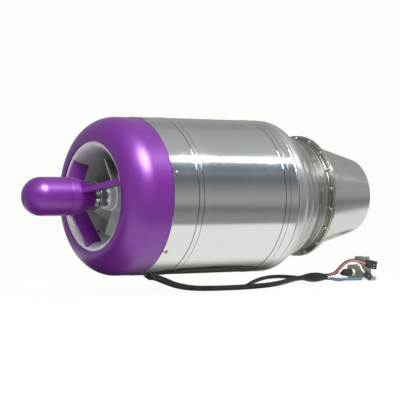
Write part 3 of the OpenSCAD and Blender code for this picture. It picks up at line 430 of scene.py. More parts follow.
def turned_metal(name, colour, dark, rough, lines=2500, wander=6, marks=0.08, relief=0.05,
                 metal=1.0, smudge=30, streak=0.0, pressed=0.0, deep=0.0):
    """Metal with fine lines round the engine's axis, as a lathe or a spinning tool leaves them.
    Where a pressed radius is given, lines pressed below it are darkened with painted shade and the spun
    dome is duller;
    where a station deep is given, an intake's bore is darkened inward of it with painted shade."""
    finish, close = new_finish(name)
    place = finish.place()
    x, y, z = finish.parts(place)
    radius = (y * y + z * z).root()
    fine = finish.noise(finish.join((x + radius * SKEW) * lines, y * wander, z * wander), 1.0, 3.0, 0.6)
    wide = finish.noise(finish.join((x + radius * SKEW) * (lines / 9), y * wander, z * wander), 1.0, 2.0)
    hands = finish.noise(place, smudge, 4.0, 0.6)
    tone = finish.mix(fine * 0.55 + wide * 0.25 + hands * 0.2, dark, colour)
    dull = 0
    if pressed:
        # painted shade: the pressed grooves and the can's front seam are darkened as if in shadow
        low = (1 - radius.ramp(pressed - 0.12 * MM, pressed)) * (x < CAN_REAR * MM)
        on_dome = x.ramp(0.0565, 0.063)
        tone = finish.mix(low * 0.6, tone, (0.1, 0.1, 0.09))
        tone = finish.mix(on_dome * 0.5, tone, (0.56, 0.56, 0.555))
        dull = x.ramp(0.0528, 0.0560) * 0.2
    # painted shade: the bore darkens towards the wheel, as if deeper in shadow
    if deep:
        tone = finish.mix(x.ramp(deep - 0.012, deep + 0.006) * 0.6, tone, (0.2, 0.2, 0.195))
    close(Base_Color=tone, Metallic=metal, Normal=finish.bump(fine, relief, 0.00002),
          Roughness=fine * marks + hands.ramp(0.35, 0.75) * marks + wide * streak + rough + dull)


def satin_anodised(name, colour, shade, rough=0.36):
    """Dyed aluminium: a fine even grain with faint tool lines, under a clear sealed skin."""
    finish, close = new_finish(name)
    place = finish.place()
    x, y, z = finish.parts(place)
    grain = finish.noise(place, 2600, 2.0)
    tool = finish.noise(finish.join(x * 1800, y * 5, z * 5), 1.0, 2.0)
    cloud = finish.noise(place, 22, 2.0)
    tone = finish.mix(grain * 0.3 + tool * 0.2 + cloud * 0.5, shade, colour)
    close(Base_Color=tone, Metallic=0.6, Normal=finish.bump(grain, 0.08, 0.00002),
          Roughness=grain * 0.06 + cloud * 0.05 + rough, Coat_Weight=1.0, Coat_IOR=1.7,
          Coat_Roughness=0.34, Specular_IOR_Level=0.05)


def grained(name, colour, dark, rough=0.45, metal=0.0, scale=900, speck=0.12, relief=0.15):
    """A moulded, cast or rolled surface: small grain and broad wear."""
    finish, close = new_finish(name)
    place = finish.place()
    grain = finish.noise(place, scale, 3.0, 0.6)
    wear = finish.noise(place, scale / 20, 3.0)
    tone = finish.mix(grain * 0.4 + wear * 0.6, dark, colour)
    close(Base_Color=tone, Metallic=metal, Normal=finish.bump(grain, relief, 0.00004),
          Roughness=grain * speck + wear.ramp(0.3, 0.7) * speck + rough)


def heat_tinted(name):
    """Polished sheet that dulls to olive brown at the bolted flange, partly heat tint and partly a painted
    dark reflection spread along the neck, with a bright turned rim.
    """
    finish, close = new_finish(name)
    place = finish.place()
    x, y, z = finish.parts(place)
    radius = (y * y + z * z).root()
    fine = finish.noise(finish.join((x + radius * SKEW) * 2200, y * 8, z * 8), 1.0, 3.0, 0.6)
    cloud = finish.noise(place, 40, 3.0)
    # heat tint towards the flange, widened along the neck as a painted dark reflection
    heat_tint_and_painted_dark = (x + cloud * 0.008).ramp(0.082, 0.104) * 0.45
    inside_rim = 1 - radius.ramp(0.0522, 0.0526)
    face = x.ramp(0.1005, 0.1020) * inside_rim
    clean = finish.mix(fine, (0.50, 0.50, 0.485), (0.66, 0.66, 0.65))
    brown = finish.mix(fine, (0.36, 0.35, 0.29), (0.50, 0.49, 0.43))
    tone = finish.mix(heat_tint_and_painted_dark * inside_rim, clean, brown)
    close(Base_Color=finish.mix(face * 0.75, tone, brown), Metallic=1.0,
          Normal=finish.bump(fine, 0.05, 0.00002), Roughness=fine * 0.08 + cloud * 0.08 + 0.23)


def braided(name, colour, thread, across=26, along=3.2):
    """A woven sheath: two sets of threads that wind opposite ways along the piece's own map."""
    finish, close = new_finish(name)
    u, v, _ = finish.parts(finish.node("ShaderNodeTexCoord", output="UV"))
    left = ((u * across + v * (along * 10)) * math.pi).sine().size()
    right = ((u * across - v * (along * 10)) * math.pi).sine().size()
    weave = left * right
    wear = finish.noise(finish.place(), 160, 2.0)
    tone = finish.mix(weave * 0.7 + wear * 0.3, colour, thread)
    close(Base_Color=tone, Normal=finish.bump(weave, 0.35, 0.00012),
          Roughness=weave * -0.12 + wear * 0.1 + 0.42)


# each one's name, colour, darker tone and roughness
satin_anodised("purple_anodised", (0.165, 0.0045, 0.275), (0.14, 0.0035, 0.234))
turned_metal("motor_steel", (0.58, 0.58, 0.57), (0.45, 0.45, 0.45), 0.3)
grained("black_plastic", (0.022, 0.022, 0.024), (0.012, 0.012, 0.013), 0.36)
grained("magnet", (0.10, 0.10, 0.11), (0.06, 0.06, 0.065), 0.5)
turned_metal("copper", (0.75, 0.36, 0.20), (0.55, 0.24, 0.12), 0.3, lines=3600)
grained("rubber", (0.035, 0.035, 0.038), (0.02, 0.02, 0.02), 0.6, scale=600)
# deep: painted shade inside the bellmouth, darker towards the wheel
turned_metal("cast_aluminium", (0.80, 0.81, 0.80), (0.68, 0.69, 0.68), 0.46,
             lines=1600, marks=0.1, metal=0.65, deep=-0.091)
turned_metal("wheel_aluminium", (0.94, 0.95, 0.96), (0.82, 0.83, 0.84), 0.28,
             lines=2200, marks=0.12, metal=0.75)
turned_metal("nut_aluminium", (0.9, 0.9, 0.91), (0.75, 0.75, 0.76), 0.16)
grained("circuit_board", (0.03, 0.16, 0.07), (0.02, 0.10, 0.05), 0.4)
# pressed: painted shade in the can's grooves
turned_metal("polished_can", (0.91, 0.91, 0.91), (0.80, 0.80, 0.80), 0.05,
             marks=0.05, relief=0.06, streak=0.09, pressed=0.0649)
heat_tinted("heated_steel")
turned_metal("nozzle_steel", (0.80, 0.80, 0.80), (0.70, 0.70, 0.69), 0.10,
             lines=1500, marks=0.08, streak=0.08)
grained("dark_steel", (0.16, 0.15, 0.14), (0.08, 0.08, 0.08), 0.32, 1.0)
grained("bright_steel", (0.80, 0.79, 0.76), (0.6, 0.59, 0.56), 0.22, 1.0)
turned_metal("turbine_alloy", (0.42, 0.39, 0.35), (0.28, 0.26, 0.24), 0.36)
turned_metal("chamber_steel", (0.46, 0.42, 0.36), (0.32, 0.28, 0.22), 0.38)
braided("cable_sheath", (0.008, 0.009, 0.013), (0.028, 0.033, 0.044))
grained("shrink_sleeve", (0.016, 0.018, 0.022), (0.009, 0.010, 0.012), 0.34, scale=300)
grained("lead_red", (0.32, 0.10, 0.095), (0.24, 0.07, 0.07), 0.4)
grained("wire_red", (0.60, 0.06, 0.10), (0.45, 0.04, 0.07), 0.4)
grained("tube_blue", (0.085, 0.17, 0.29), (0.06, 0.12, 0.21), 0.28)
grained("connector_white", (0.80, 0.80, 0.78), (0.7, 0.7, 0.68), 0.4)
grained("lead_black", (0.03, 0.03, 0.033), (0.016, 0.016, 0.018), 0.4)
grained("wire_white", (0.8, 0.78, 0.76), (0.7, 0.68, 0.66), 0.4)
grained("module_metal", (0.42, 0.41, 0.37), (0.20, 0.19, 0.17), 0.36, 0.7)
grained("lead_brown", (0.045, 0.02, 0.02), (0.025, 0.012, 0.012), 0.42)
grained("lead_salmon", (0.48, 0.27, 0.26), (0.38, 0.19, 0.185), 0.42)
grained("contact_metal", (0.82, 0.80, 0.74), (0.7, 0.66, 0.58), 0.25, 1.0)


# ---------------------------------------------------------------- making pieces

def arc(centre, across, up, start, end, steps):
    """Outline points of an elliptical arc; at 0 degrees it stands straight above its centre."""
    turns = [math.radians(start + (end - start) * k / steps) for k in range(steps + 1)]
    return [(centre[0] + across * math.sin(t), centre[1] + up * math.cos(t)) for t in turns]


def flowing(points, spacing=0.8):
    """The same outline, on a smooth curve."""
    return [(p.x / MM, p.y / MM) for p in smooth_path([(x, r, 0) for x, r in points], spacing)]


def edit():
    bpy.ops.object.mode_set(mode="EDIT")
    bpy.ops.mesh.select_all(action="SELECT")


def close_up(piece, sharp=30):
    """Merges the seams and poles, points every face outwards and smooths the round faces."""
    clear_selection(piece)
    edit()
    bpy.ops.mesh.remove_doubles(threshold=0.000002)
    bpy.ops.mesh.normals_make_consistent(inside=False)
    bpy.ops.object.mode_set(mode="OBJECT")
    bpy.ops.object.shade_smooth_by_angle(angle=math.radians(sharp))
    return piece


def clear_selection(active=None):
    bpy.ops.object.select_all(action="DESELECT")
    if active:
        active.select_set(True)
        bpy.context.view_layer.objects.active = active


def settle(piece):
    """Puts the piece's place and turn in its mesh."""
    clear_selection(piece)
    bpy.ops.object.transform_apply(location=True, rotation=True, scale=True)
    return piece


def take_up(name):
    """Names the primitive just added and puts its place and size in its mesh."""
    piece = bpy.context.object
    piece.name = piece.data.name = name
    return settle(piece)


def pick(piece, kind, wanted):
    """In edit mode, selects just the edges or the faces that are wanted."""
    bpy.ops.mesh.select_all(action="DESELECT")
    mesh = bmesh.from_edit_mesh(piece.data)
    for part in getattr(mesh, kind):
        part.select = wanted(part)
    bmesh.update_edit_mesh(piece.data)


def with_supports(outline, closed, margin=0.15, long=1.6):
    """Adds a point just inside both ends of each long run, so that its shading stays straight."""
    result = []
    for (x0, r0), (x1, r1) in zip(outline, outline[1:] + outline[:1]):
        result.append((x0, r0))
        run = math.hypot(x1 - x0, r1 - r0)
        if run > long:
            for share in (margin / run, 1 - margin / run):
                result.append((x0 + (x1 - x0) * share, r0 + (r1 - r0) * share))
    return result if closed else result[:result.index(outline[-1]) + 1]


def turn_on_lathe(name, outline, sides=144, sharp=30):
    """A piece turned about the engine's axis from an outline of (station, radius) in millimetres."""
    clear_selection()
    on_axis = outline[0][1] == 0 and outline[-1][1] == 0
    outline = with_supports(outline, not on_axis)
    x, r = outline[0]
    bpy.ops.mesh.primitive_plane_add(size=MM, location=(x * MM, 0, r * MM))
    piece = take_up(name)
    edit()
    bpy.ops.mesh.merge(type="CENTER")
    for (x0, r0), (x1, r1) in zip(outline, outline[1:] + ([] if on_axis else outline[:1])):
        bpy.ops.mesh.extrude_region_move(
            TRANSFORM_OT_translate={"value": ((x1 - x0) * MM, 0, (r1 - r0) * MM)})
    bpy.ops.mesh.select_all(action="SELECT")
    bpy.ops.mesh.spin(steps=sides, angle=2 * math.pi, center=(0, 0, 0), axis=(1, 0, 0))
    bpy.ops.object.mode_set(mode="OBJECT")
    return close_up(piece, sharp)


def join_up(name, pieces):
    clear_selection(pieces[0])
    for piece in pieces:
        piece.select_set(True)
    if len(pieces) > 1:
        bpy.ops.object.join()
    joined = bpy.context.object
    joined.name = joined.data.name = name
    return joined


def copies(template, name, places):
    """One piece made of a copy of the template, with its own mesh, at each place."""
    made = []
    for place in places:
        copy = template.copy()
        copy.data = template.data.copy()
        copy.data.transform(place)
        scene.collection.objects.link(copy)
        made.append(copy)
    bpy.data.objects.remove(template)
    return join_up(name, made)


def about_axis(angle):
    """A turn about the engine's axis, in degrees from +Y towards +Z."""
    return Matrix.Rotation(math.radians(angle), 4, "X")


def apply_modifier(piece, kind, **settings):
    clear_selection(piece)
    modifier = piece.modifiers.new(kind.lower(), kind)
    for key, value in settings.items():
        setattr(modifier, key, value)
    bpy.ops.object.modifier_apply(modifier=modifier.name)
    return piece


def cut(piece, tool, operation="DIFFERENCE"):
    apply_modifier(piece, "BOOLEAN", object=tool, operation=operation, solver="EXACT")
    bpy.data.objects.remove(tool)
    return piece


def tube_piece(name, path, radius, sides=14):
    return new_mesh(name, lambda mesh: tube_into(mesh, path, radius, sides))


def rounded_box(name, corner, size, bevel=0.35):
    """A moulded block with softened edges; corner and size in millimetres."""
    clear_selection()
    bpy.ops.mesh.primitive_cube_add(size=1, location=[(c + s / 2) * MM for c, s in zip(corner, size)],
                                    scale=[s * MM for s in size])
    piece = take_up(name)
    edit()
    bpy.ops.mesh.bevel(offset=bevel * MM, segments=3, affect="EDGES")
    bpy.ops.object.mode_set(mode="OBJECT")
    return piece


def cylinder(name, sides, radius, height, middle=(0, 0, 0)):
    """An upright cylinder; its sizes and the place of its middle in millimetres."""
    clear_selection()
    bpy.ops.mesh.primitive_cylinder_add(vertices=sides, radius=radius * MM, depth=height * MM,
                                        location=[c * MM for c in middle])
    return take_up(name)


def shift(piece, place):
    piece.data.transform(place)
    return piece


def off_axis(y, z):
    return Matrix.Translation((0, y * MM, z * MM))


# ---------------------------------------------------------------- starter pod

def nose_cap():
    seam, centre, radius, bore = POD_SEAM, (-153.9, 0), POD_RADIUS, 13.6
    outline = ([(seam, bore), (seam, radius - 0.35), (seam - 0.12, radius - 0.12), (seam - 0.4, radius)]
               + arc(centre, -radius, radius, 0, 90, 26)[:-1] + [(centre[0] - radius, 0)])
    inner = [(centre[0] - bore, 0)] + arc(centre, -bore, bore, 90, 0, 14)[1:]
    return turn_on_lathe("nose_cap_shell", outline + inner, 96)


def strut():
    """One strut along its own run: round front edge, thinner rear edge."""
    clear_selection()
    chord, half, tail, run = 13.5, 2.0, 0.7, 37.6
    bpy.ops.mesh.primitive_cube_add(size=1, location=(chord / 2 * MM, run / 2 * MM, 0),
                                    scale=(chord * MM, run * MM, 2 * half * MM))
    piece = take_up("strut")
    for vertex in piece.data.vertices:
        if vertex.co.x > chord / 2 * MM:
            vertex.co.z *= tail / half

    def along_run(edge, front, rear):
        """Whether an edge runs out along the strut, between two shares of the chord."""
        a, b = (v.co for v in edge.verts)
        return abs(a.y - b.y) > MM and front * chord * MM < a.x < rear * chord * MM

    edit()
    pick(piece, "edges", lambda edge: along_run(edge, -1, 0.5))
    bpy.ops.mesh.bevel(offset=1.45 * MM, segments=5, affect="EDGES")
    pick(piece, "edges", lambda edge: along_run(edge, 0.9, 2))
    bpy.ops.mesh.bevel(offset=0.3 * MM, segments=2, affect="EDGES")
    bpy.ops.object.mode_set(mode="OBJECT")
    root, sweep = (-125.3 * MM, 14.2 * MM, 0), math.radians(-34.8)
    return shift(piece, Matrix.Translation(root) @ Matrix.Rotation(sweep, 4, "Z"))


def starter_housing():
    seam, end = POD_SEAM, -108.7
    pod = turn_on_lathe("starter_housing_shell", [
        (seam - 3.2, 12.45), (seam - 3.2, 13.55), (seam, 13.55), (seam, 15.15), (seam + 0.12, 15.38),
        (seam + 0.4, POD_RADIUS), (-125.0, POD_RADIUS), (-124.78, 15.42), (-124.6, 15.2), (end - 0.9, 11.1),
        (end - 0.3, 10.75), (end, 10.3), (end, 7.6), (-124, 7.6), (-124, 12.45)], 120)
    arms = copies(strut(), "arms", [about_axis(42.5 + 120 * k) for k in range(3)])
    cut(pod, arms, "UNION")
    return close_up(pod, 34)


# ---------------------------------------------------------------- intake and compressor

def intake_cowl():
    lip, mouth, centre = -107.6, 44.4, (-86, 45.2)
    outline = [(CAN_FRONT, 63.1), (CAN_FRONT, 64.35), (-70.45, 64.6)]
    outline += arc(centre, -21.6, 19.4, 0, 88, 34)
    outline += [(lip + 0.05, mouth + 0.42), (lip + 0.2, mouth + 0.2), (lip + 0.45, mouth + 0.06),
                (lip + 0.9, mouth), (lip + 3.2, mouth), (lip + 3.2, mouth + 1.6)]
    outline += arc(centre, -20.1, 17.9, 85, 0, 18)
    return turn_on_lathe("intake_cowl_shell", outline, 180)


def compressor_cover():
    """Bellmouth, shroud round the wheel, and the rim that fits in the can."""
    bell, shroud = (TURN_START, 43.5), (TURN_START, 49.4)
    outline = ([(-106.4, 43.9), (-106.38, 43.6)] + arc(bell, -22.4, -7, 88.5, 0, 30)
               + arc(shroud, 32.7, -12.9, 6, 90, 18)
               + [(-51.3, 63.95), (CAN_FRONT, 63.95), (CAN_FRONT, 63.05), (-76.2, 63.05), (-76.2, 61.05),
                  (-53.8, 61.05)]
               + arc((TURN_START, 51.4), 30.2, -12.9, 84, 0, 12)
               + arc((TURN_START, 45.5), -22.4, -7, 6, 54, 8)
               + [(-102.4, 44.35), (-106.1, 44.35), (-106.4, 44.2)])
    return turn_on_lathe("bellmouth", outline, 144)


def compressor_nut():
    front, rear = -102.5, WHEEL_FRONT
    return turn_on_lathe("nut_with_recess", [
        (front, 6.8), (front + 0.2, 7.8), (front + 0.5, 8.0), (rear - 1.1, 8.0), (rear - 0.8, 8.3),
        (rear - 0.8, 8.8), (rear - 0.55, 9.0), (rear, 9.0), (rear, SHAFT_RADIUS), (front + 5, SHAFT_RADIUS),
        (front + 5, 6.6), (front + 0.2, 6.6)], 72)


def blade(name, start, thick=0.9):
    """One compressor blade: a thin plate laid from hub to shroud, wrapped back towards its tip."""
    along, span, lean, wrap, rim = 22, 6, 20.7, 37, 48.8
    clear_selection()
    bpy.ops.mesh.primitive_grid_add(x_subdivisions=along, y_subdivisions=span, size=2)
    piece = take_up(name)
    for vertex in piece.data.vertices:
        t = start + (90 - start) * (vertex.co.x + 1) / 2
        share = (vertex.co.y + 1) / 2
        s, c = math.sin(math.radians(t)), math.cos(math.radians(t))
        turn = math.radians(lean - wrap * (1 - (1 - t / 90) ** 2))
        hub = (TURN_START + 38.1 * s, min(49 - 36.8 * c, rim))
        tip = (TURN_START + 33 * s, rim - 12.6 * c)
        x, r = (a + (b - a) * share for a, b in zip(hub, tip))
        vertex.co = Vector((x, r * math.cos(turn), r * math.sin(turn))) * MM
    apply_modifier(piece, "SOLIDIFY", thickness=thick * MM, offset=0)
    return close_up(piece, 40)


def compressor_wheel():
    hub = turn_on_lathe("wheel", [
        (WHEEL_FRONT, SHAFT_RADIUS), (WHEEL_FRONT, 9.9), (-94.9, 10.2), (-90.2, 10.5), (-90, 10.75),
        (-89.2, 10.75), (-89, 11.4), (-84.6, 11.9), (-84.2, 12.3)]
        + arc((TURN_START, 49), 37.5, -36, 0, 90, 26)[1:]
        + [(-45.2, 49), (-45, 48.8), (-45, 14), (-43, 14), (-43, SHAFT_RADIUS)], 120)
    full = copies(blade("full_blade", 1), "full_blades", [about_axis(40 * k) for k in range(9)])
    short = copies(blade("splitter", 28), "splitters", [about_axis(20 + 40 * k) for k in range(9)])
    return join_up("wheel_with_blades", [hub, full, short])


# ---------------------------------------------------------------- can and rear end

def bead(start, width=4.8, height=0.25, groove=0.35):
    """A rolled band on the can, between two pressed lines."""
    half = [(-0.55, 0), (-0.4, -groove), (0.2, -groove), (0.4, height)]
    return ([(start + x, CAN_RADIUS + r) for x, r in half]
            + [(start + width - x, CAN_RADIUS + r) for x, r in reversed(half)])


def can():
    return turn_on_lathe("can_shell", [
        (CAN_FRONT, 64), (CAN_FRONT, 64.8), (-70.0, CAN_RADIUS)] + bead(-46.3) + bead(41.5)
        + [(54.2, CAN_RADIUS), (54.4, 65.15), (54.8, 65.2), (55.2, 65.1), (55.4, 64.7), (55.6, 64.3),
           (55.6, 64)], 200)


def rear_dome():
    centre = (59, 51.4)
    outline = ([(50.6, 62.7), (50.6, 63.9), (56.0, 63.9), (CAN_REAR, 64.5), (56.6, CAN_RADIUS)]
               + arc(centre, 13.6, 13.6, 0, 46, 14)
               + [(69.1, 60.75), (69.42, 60.45), (69.42, 60.1)]
               + arc(centre, 12.4, 12.4, 50, 0, 12))
    return turn_on_lathe("dome_shell", outline, 200)


def exhaust_neck():
    skin = flowing([(68.5, 59.4), (69.6, 58.6), (71.06, 57.8), (73.04, 57.64), (76.49, 56.63),
                    (78.96, 55.4), (80.5, 54.44), (84.03, 53.59), (87.02, 52.53), (89.49, 50.99),
                    (93, 49.6), (96.56, 48.91), (98.0, NECK_RADIUS)])
    inner = [(x, r - 1) for x, r in reversed(skin)]
    flange = [(98.2, 49.0), (98.5, 49.28), (99.1, 49.28), (99.4, 49.0), (99.5, NECK_RADIUS),
              (101.9, NECK_RADIUS), (102.2, 48.9), (102.32, 49.2), (102.32, 52.6), (102.45, FLANGE_RADIUS),
              (103.4, FLANGE_RADIUS), (103.52, 52.65), (103.52, 47.7)]
    return turn_on_lathe("neck_with_flange", skin + flange + inner, 200)


def exhaust_nozzle():
    cone = turn_on_lathe("nozzle_cone", [
        (104.32, 47.2), (104.32, 52.65), (104.45, FLANGE_RADIUS), (105.4, FLANGE_RADIUS), (105.52, 52.65),
        (105.52, 48.4), (105.75, 48.05), (106.2, 47.85), (161.0, 33.3), (161.22, 33.1),
        (161.22, 32.55), (161.0, 32.45), (105.6, 47.1)], 200)
    weld = close_up(rounded_box("weld", (0, -0.45, -0.45), (56, 0.9, 0.9), 0.4))
    slope = math.radians(14.87)
    shift(weld, about_axis(65) @ Matrix.Translation((106.6 * MM, 0, 47.74 * MM))
          @ Matrix.Rotation(slope, 4, "Y"))
    return join_up("nozzle_with_weld", [cone, weld])


def socket_screw(name, head_r, head_h, socket_r, shank_l):
    """A cap screw that points down -Z, with its head's seat at the origin."""
    piece = cylinder(name, 24, head_r, head_h, (0, 0, head_h / 2))
    edit()
    pick(piece, "edges", lambda edge: all(v.co.z > 0.9 * head_h * MM for v in edge.verts))
    bpy.ops.mesh.bevel(offset=0.22 * head_h * MM, segments=3, affect="EDGES")
    pick(piece, "faces", lambda face: face.normal.z < -0.9)
    bpy.ops.mesh.inset(thickness=(head_r - 0.9) * MM)
    bpy.ops.mesh.extrude_region_move(TRANSFORM_OT_translate={"value": (0, 0, -shank_l * MM)})
    bpy.ops.object.mode_set(mode="OBJECT")
    return close_up(cut(piece, cylinder("socket", 6, socket_r, head_h, (0, 0, head_h))))


CAN_SCREW_STATION = -66.4
CAN_SCREW_TURNS = [43 + 60 * k for k in range(6)]


def upright(x, r):
    """Places a screw that points down -Z on the can, head outwards, at a station and radius on +Y."""
    return Matrix.Translation((x * MM, r * MM, 0)) @ Matrix.Rotation(math.radians(-90), 4, "X")


def can_screws():
    seat = upright(CAN_SCREW_STATION, 65.02)
    return copies(socket_screw("can_screw", 1.25, 0.7, 0.6, 3.8), "can_screw_set",
                  [about_axis(turn) @ seat for turn in CAN_SCREW_TURNS])


def can_screw_rims():
    """Dark rings round the can's screws, seats darkened as a painted shadow of the gap round each head, and
    a dark disc in front of each that paints a small locating hole's shade.
    """
    seat = cylinder("seat", 24, 1.75, 0.16)
    hole = cylinder("hole", 16, 0.7, 0.3, (-3.1, 0.6, -0.1))
    return copies(close_up(join_up("rims", [seat, hole])), "can_screw_seats_and_shadows",
                  [about_axis(turn) @ upright(CAN_SCREW_STATION, 65.05) for turn in CAN_SCREW_TURNS])


def speed_port():
    """A dark disc in the bellmouth's throat, just ahead of the blades: the painted shade of the speed
    sensor's hole.
    """
    return copies(close_up(cylinder("sensor_hole_shade", 24, 1.5, 0.5)), "speed_sensor_hole_shade",
                  [about_axis(-52.8) @ upright(-86.8, 36.72)])


def flange_screws():
    seat = Matrix.Translation((102.3 * MM, 50.8 * MM, 0)) @ Matrix.Rotation(math.radians(-90), 4, "Y")
    return copies(socket_screw("flange_screw", 1.3, 1.3, 0.65, 4.9), "flange_screw_set",
                  [about_axis(13 + 20 * k) @ seat for k in range(18)])


for make, node, slot, body in (
        (nose_cap, "nose_cap", "purple_anodised", ENGINE),
        (starter_housing, "starter_housing", "purple_anodised", ENGINE),
        (intake_cowl, "intake_cowl", "purple_anodised", ENGINE),
        (compressor_cover, "compressor_cover", "cast_aluminium", ENGINE),
        (compressor_nut, "compressor_nut", "nut_aluminium", "rotor"),
        (compressor_wheel, "compressor_wheel", "wheel_aluminium", "rotor"),
        (can, "can", "polished_can", ENGINE),
        (rear_dome, "rear_dome", "polished_can", ENGINE),
        (exhaust_neck, "exhaust_neck", "heated_steel", ENGINE),
        (exhaust_nozzle, "exhaust_nozzle", "nozzle_steel", ENGINE),
        (can_screws, "can_screws", "bright_steel", ENGINE),
        (flange_screws, "flange_screws", "bright_steel", ENGINE)):
    dress(make(), slot, node, body=body)
# painted shade: dark rings round the can's screws and dark discs for their holes
dress(can_screw_rims(), "dark_steel")
# painted shade: a dark disc for the speed sensor's hole
dress(speed_port(), "dark_steel")


# ---------------------------------------------------------------- harness

# shares of the sleeve's length, of its half width and of its half height
SLEEVE_SHAPE = [
    (0, 1, 0.56), (0.1, 1, 0.66), (0.22, 0.99, 0.81), (0.36, 0.97, 0.91), (0.5, 0.94, 0.93),
    (0.66, 0.91, 0.89), (0.8, 0.88, 0.79), (0.9, 0.85, 0.68), (1, 0.82, 0.58)]


def cable_sleeve():
    """Shrunk sleeve: flat where the two cables enter side by side, swollen over the joint."""
    start, length, radius = 134, 26, 4.7
    wide = flowing([(start + length * s, radius * w) for s, w, _ in SLEEVE_SHAPE], 1.2)
    high = flowing([(start + length * s, radius * h) for s, _, h in SLEEVE_SHAPE], 1.2)
    body = turn_on_lathe("sleeve", [(start, 0), (start, wide[0][1] - 0.3)] + wide[1:-1]
                         + [(start + length, wide[-1][1] - 0.3), (start + length, 0)], 40, 50)
    for vertex in body.data.vertices:
        x, y, z = (c / MM for c in vertex.co)
        k = max(0, min(len(high) - 1, round((x - start) / length * (len(high) - 1))))
        dent = 1 - 0.05 * math.sin(x * 0.9 + 2 * math.atan2(z, y)) ** 2 - 0.03 * math.sin(x * 2.3 + y)
        vertex.co = Vector((x, y * dent, z * dent * high[k][1] / wide[k][1])) * MM
    return shift(body, off_axis(27, -74.2))


def servo_lead(path):
    """A flat lead of three strands, side by side, that stands a little aslant."""
    pitch, radius, rise, lean = 1.04, 0.55, 0.96, 0.28

    def fill(mesh):
        for strand, pull in enumerate((pitch, 0, -pitch)):
            tube_into(mesh, path, radius * MM, 10, strand,
                      lambda k, side, lift, pull=pull: (lift * rise + side * lean) * pull * MM)
    return new_mesh("servo_strands", fill)


def flat_plug(name, corner, tilt, length, height, contacts):
    """A flat housing with a stepped back and a row of small windows that show its contacts."""
    deep, pitch = 2.8, height / 3.4
    back = rounded_box(name, (0, -deep / 2, -height * 0.42), (4.4, deep, height * 0.84), 0.3)
    front = rounded_box("front", (3.5, -deep / 2, -height / 2), (length - 3.5, deep, height), 0.35)
    cut(back, front, "UNION")
    pins = []
    for k in (-1, 0, 1):
        z = k * pitch
        tool = rounded_box("window", (length - 4.6, -deep / 2 - 1, z - 0.55), (2.6, 1.35, 1.1), 0.05)
        cut(back, tool)
        tool = rounded_box("mouth", (length - 2.5, -0.55, z - 0.55), (4, 1.1, 1.1), 0.05)
        cut(back, tool)
        if k in contacts:
            pins.append(rounded_box("pin", (length - 4.5, -deep / 2 + 0.12, z - 0.42),
                                    (2.2, 0.4, 0.84), 0.1))
    place = Matrix.Translation([c * MM for c in corner]) @ Matrix.Rotation(math.radians(tilt), 4, "Y")
    return shift(close_up(back), place), shift(close_up(join_up(name + "_contacts", pins)), place)


def tube_plug():
    """White sleeve on the blue tube's end, and the small ringed coupling beyond it."""
    sleeve = turn_on_lathe("tube_end_sleeve", [
        (197, 0), (197, 1.2), (197.2, 1.35), (205.8, 1.35), (206, 1.2), (206, 0)], 28)
    coupling = turn_on_lathe("tube_coupling", [
        (206, 0), (206, 1.7), (206.3, 2.1), (207.8, 2.2), (208, 1.75), (208.7, 1.75), (208.9, 2.2),
        (210.6, 2.2), (210.8, 1.8), (211.3, 1.8), (211.5, 2.1), (213.6, 2.0), (214, 1.6), (214, 0)], 28)
    place = off_axis(19.5, -76.9)
    return shift(sleeve, place), shift(coupling, place)


def power_boot():
    """Ribbed rubber boot on the power lead, and the pale collar at its end."""
    boot = turn_on_lathe("boot", [
        (180, 0), (180, 1.9), (181, 2.5), (182, 3.0), (183.5, 3.2), (183.8, 2.95), (184.4, 2.95),
        (184.7, 3.3), (186, 3.35), (186.3, 3.05), (186.9, 3.05), (187.2, 3.4), (191.2, 3.4),
        (191.5, 3.2), (191.5, 0)], 40)
    collar = turn_on_lathe("boot_collar", [
        (191.5, 0), (191.5, 3.0), (191.7, 3.1), (192.8, 3.1), (193, 2.9), (193.3, 2.9), (193.5, 3.1),
        (194.3, 3.1), (194.5, 2.9), (194.5, 0)], 40)
    place = off_axis(28, -71)
    return shift(boot, place), shift(collar, place)


def wire_module():
    """A metal case in two halves, with a plate raised on a column behind it."""
    x, y, z = 194.5, 24.5, -78
    width = 12.5
    foot = rounded_box("module_case", (x, y, z), (19.5, width, 13.7), 0.7)
    cut(foot, rounded_box("column", (x + 10.7, y, z), (5.5, width, 21), 0.6), "UNION")
    cut(foot, rounded_box("plate", (x + 9.2, y, z + 17.4), (8, width, 3.9), 0.6), "UNION")
    seam = rounded_box("seam", (x - 4, y - 4, z + 7.6), (28, 20, 0.45), 0.05)
    core = rounded_box("core", (x + 0.5, y + 0.5, z + 6), (18.5, 11.5, 4), 0.1)
    cut(seam, core)
    return close_up(cut(foot, seam))


def gland():
    """The rubber block that the cables leave through, seated against the can."""
    rear, length, slope, gap = ROUTE_A[0][0], 4.5, 3.5, 0.12
    block = rounded_box("gland_block", (rear - length, -14, -68.5), (length, 12.4, 9), 0.5)
    for vertex in block.data.vertices:
        if vertex.co.z < -CAN_RADIUS * MM:
            vertex.co.z += (rear * MM - vertex.co.x) / length * slope
    room = CAN_RADIUS + gap
    tool = turn_on_lathe("can_room", [(-72, 0), (-72, room), (-50, room), (-50, 0)], 240)
    return close_up(cut(block, tool))


paths = {name: smooth_path(route) for name, route in (
    ("cable_a", ROUTE_A), ("cable_b", ROUTE_B), ("servo", ROUTE_SERVO), ("blue", ROUTE_BLUE),
    ("power", ROUTE_POWER), ("sensor", ROUTE_SENSOR), ("red", ROUTE_RED))}

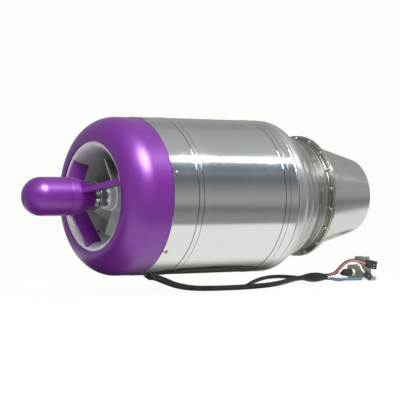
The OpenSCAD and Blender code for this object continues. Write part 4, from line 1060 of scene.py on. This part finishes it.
sleeve = dress(cable_sleeve(), "shrink_sleeve", "cable_sleeve")
cable_a = dress(tube_piece("sheathed_cable_a", paths["cable_a"], 2.25 * MM, 18),
                "cable_sheath", "cable_a")
cable_b = dress(tube_piece("sheathed_cable_b", paths["cable_b"], 1.7 * MM, 18),
                "cable_sheath", "cable_b")
strands = dress(servo_lead(paths["servo"]), "lead_red", "servo_lead",
                looks=["lead_brown", "lead_salmon", "lead_red"])
servo_case, servo_pins = flat_plug("servo_housing", (200.6, 17, -62.4), 12, 12.5, 7.6, (0, -1))
dress(servo_case, "black_plastic", "servo_plug")
dress(servo_pins, "black_plastic", looks=["contact_metal"])
sensor_case, sensor_pins = flat_plug("sensor_housing", (197.5, 15.6, -71), 34.6, 9, 5, (0,))
dress(sensor_case, "black_plastic", "sensor_plug")
dress(sensor_pins, "black_plastic", looks=["contact_metal"])
blue = dress(tube_piece("fuel_tube", paths["blue"], 1.35 * MM), "tube_blue", "blue_tube")
tube_sleeve, tube_coupling = tube_plug()
dress(tube_sleeve, "connector_white", "tube_plug")
dress(tube_coupling, "connector_white", looks=["motor_steel"])
power = dress(tube_piece("power_flex", paths["power"], 1.3 * MM), "lead_black", "power_lead")
boot, collar = power_boot()
dress(boot, "rubber", "power_boot")
dress(collar, "rubber", looks=["connector_white"])
sensor = dress(tube_piece("sensor_flex", paths["sensor"], 0.7 * MM, 10), "wire_white", "sensor_wire")
red = dress(tube_piece("red_flex", paths["red"], 0.8 * MM, 10), "wire_red", "red_wire")
module = dress(wire_module(), "module_metal", "wire_module")
dress(gland(), "rubber", "harness_gland")

path_length(paths["cable_a"])
path_length(paths["cable_b"])
path_length(paths["servo"])
path_length(paths["sensor"])


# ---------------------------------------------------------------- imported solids

def smoothed(node):
    """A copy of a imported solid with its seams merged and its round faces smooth."""
    piece = bpy.data.objects.new(node + "_smooth", NODES[node].data.copy())
    scene.collection.objects.link(piece)
    piece.matrix_world = NODES[node].matrix_world
    return close_up(settle(piece))


SLOTS = {part["node"]: part["material_slot"] for part in frame["record"]["subparts"]}
for node, body in (("clutch", "starter_clutch"), ("clutch_ring", "starter_clutch"), ("tail_cone", ENGINE),
                   ("turbine_wheel", "rotor"), ("turbine_nut", "rotor"), ("guide_vane_ring", ENGINE),
                   ("flange_nuts", ENGINE), ("strut_screws", ENGINE)):
    dress(smoothed(node), SLOTS[node], node, body=body)

for name, slot in SLOTS.items():
    if not NODES[name].hide_render:
        NODES[name].data.materials.clear()
        NODES[name].data.materials.append(FINISH[slot])
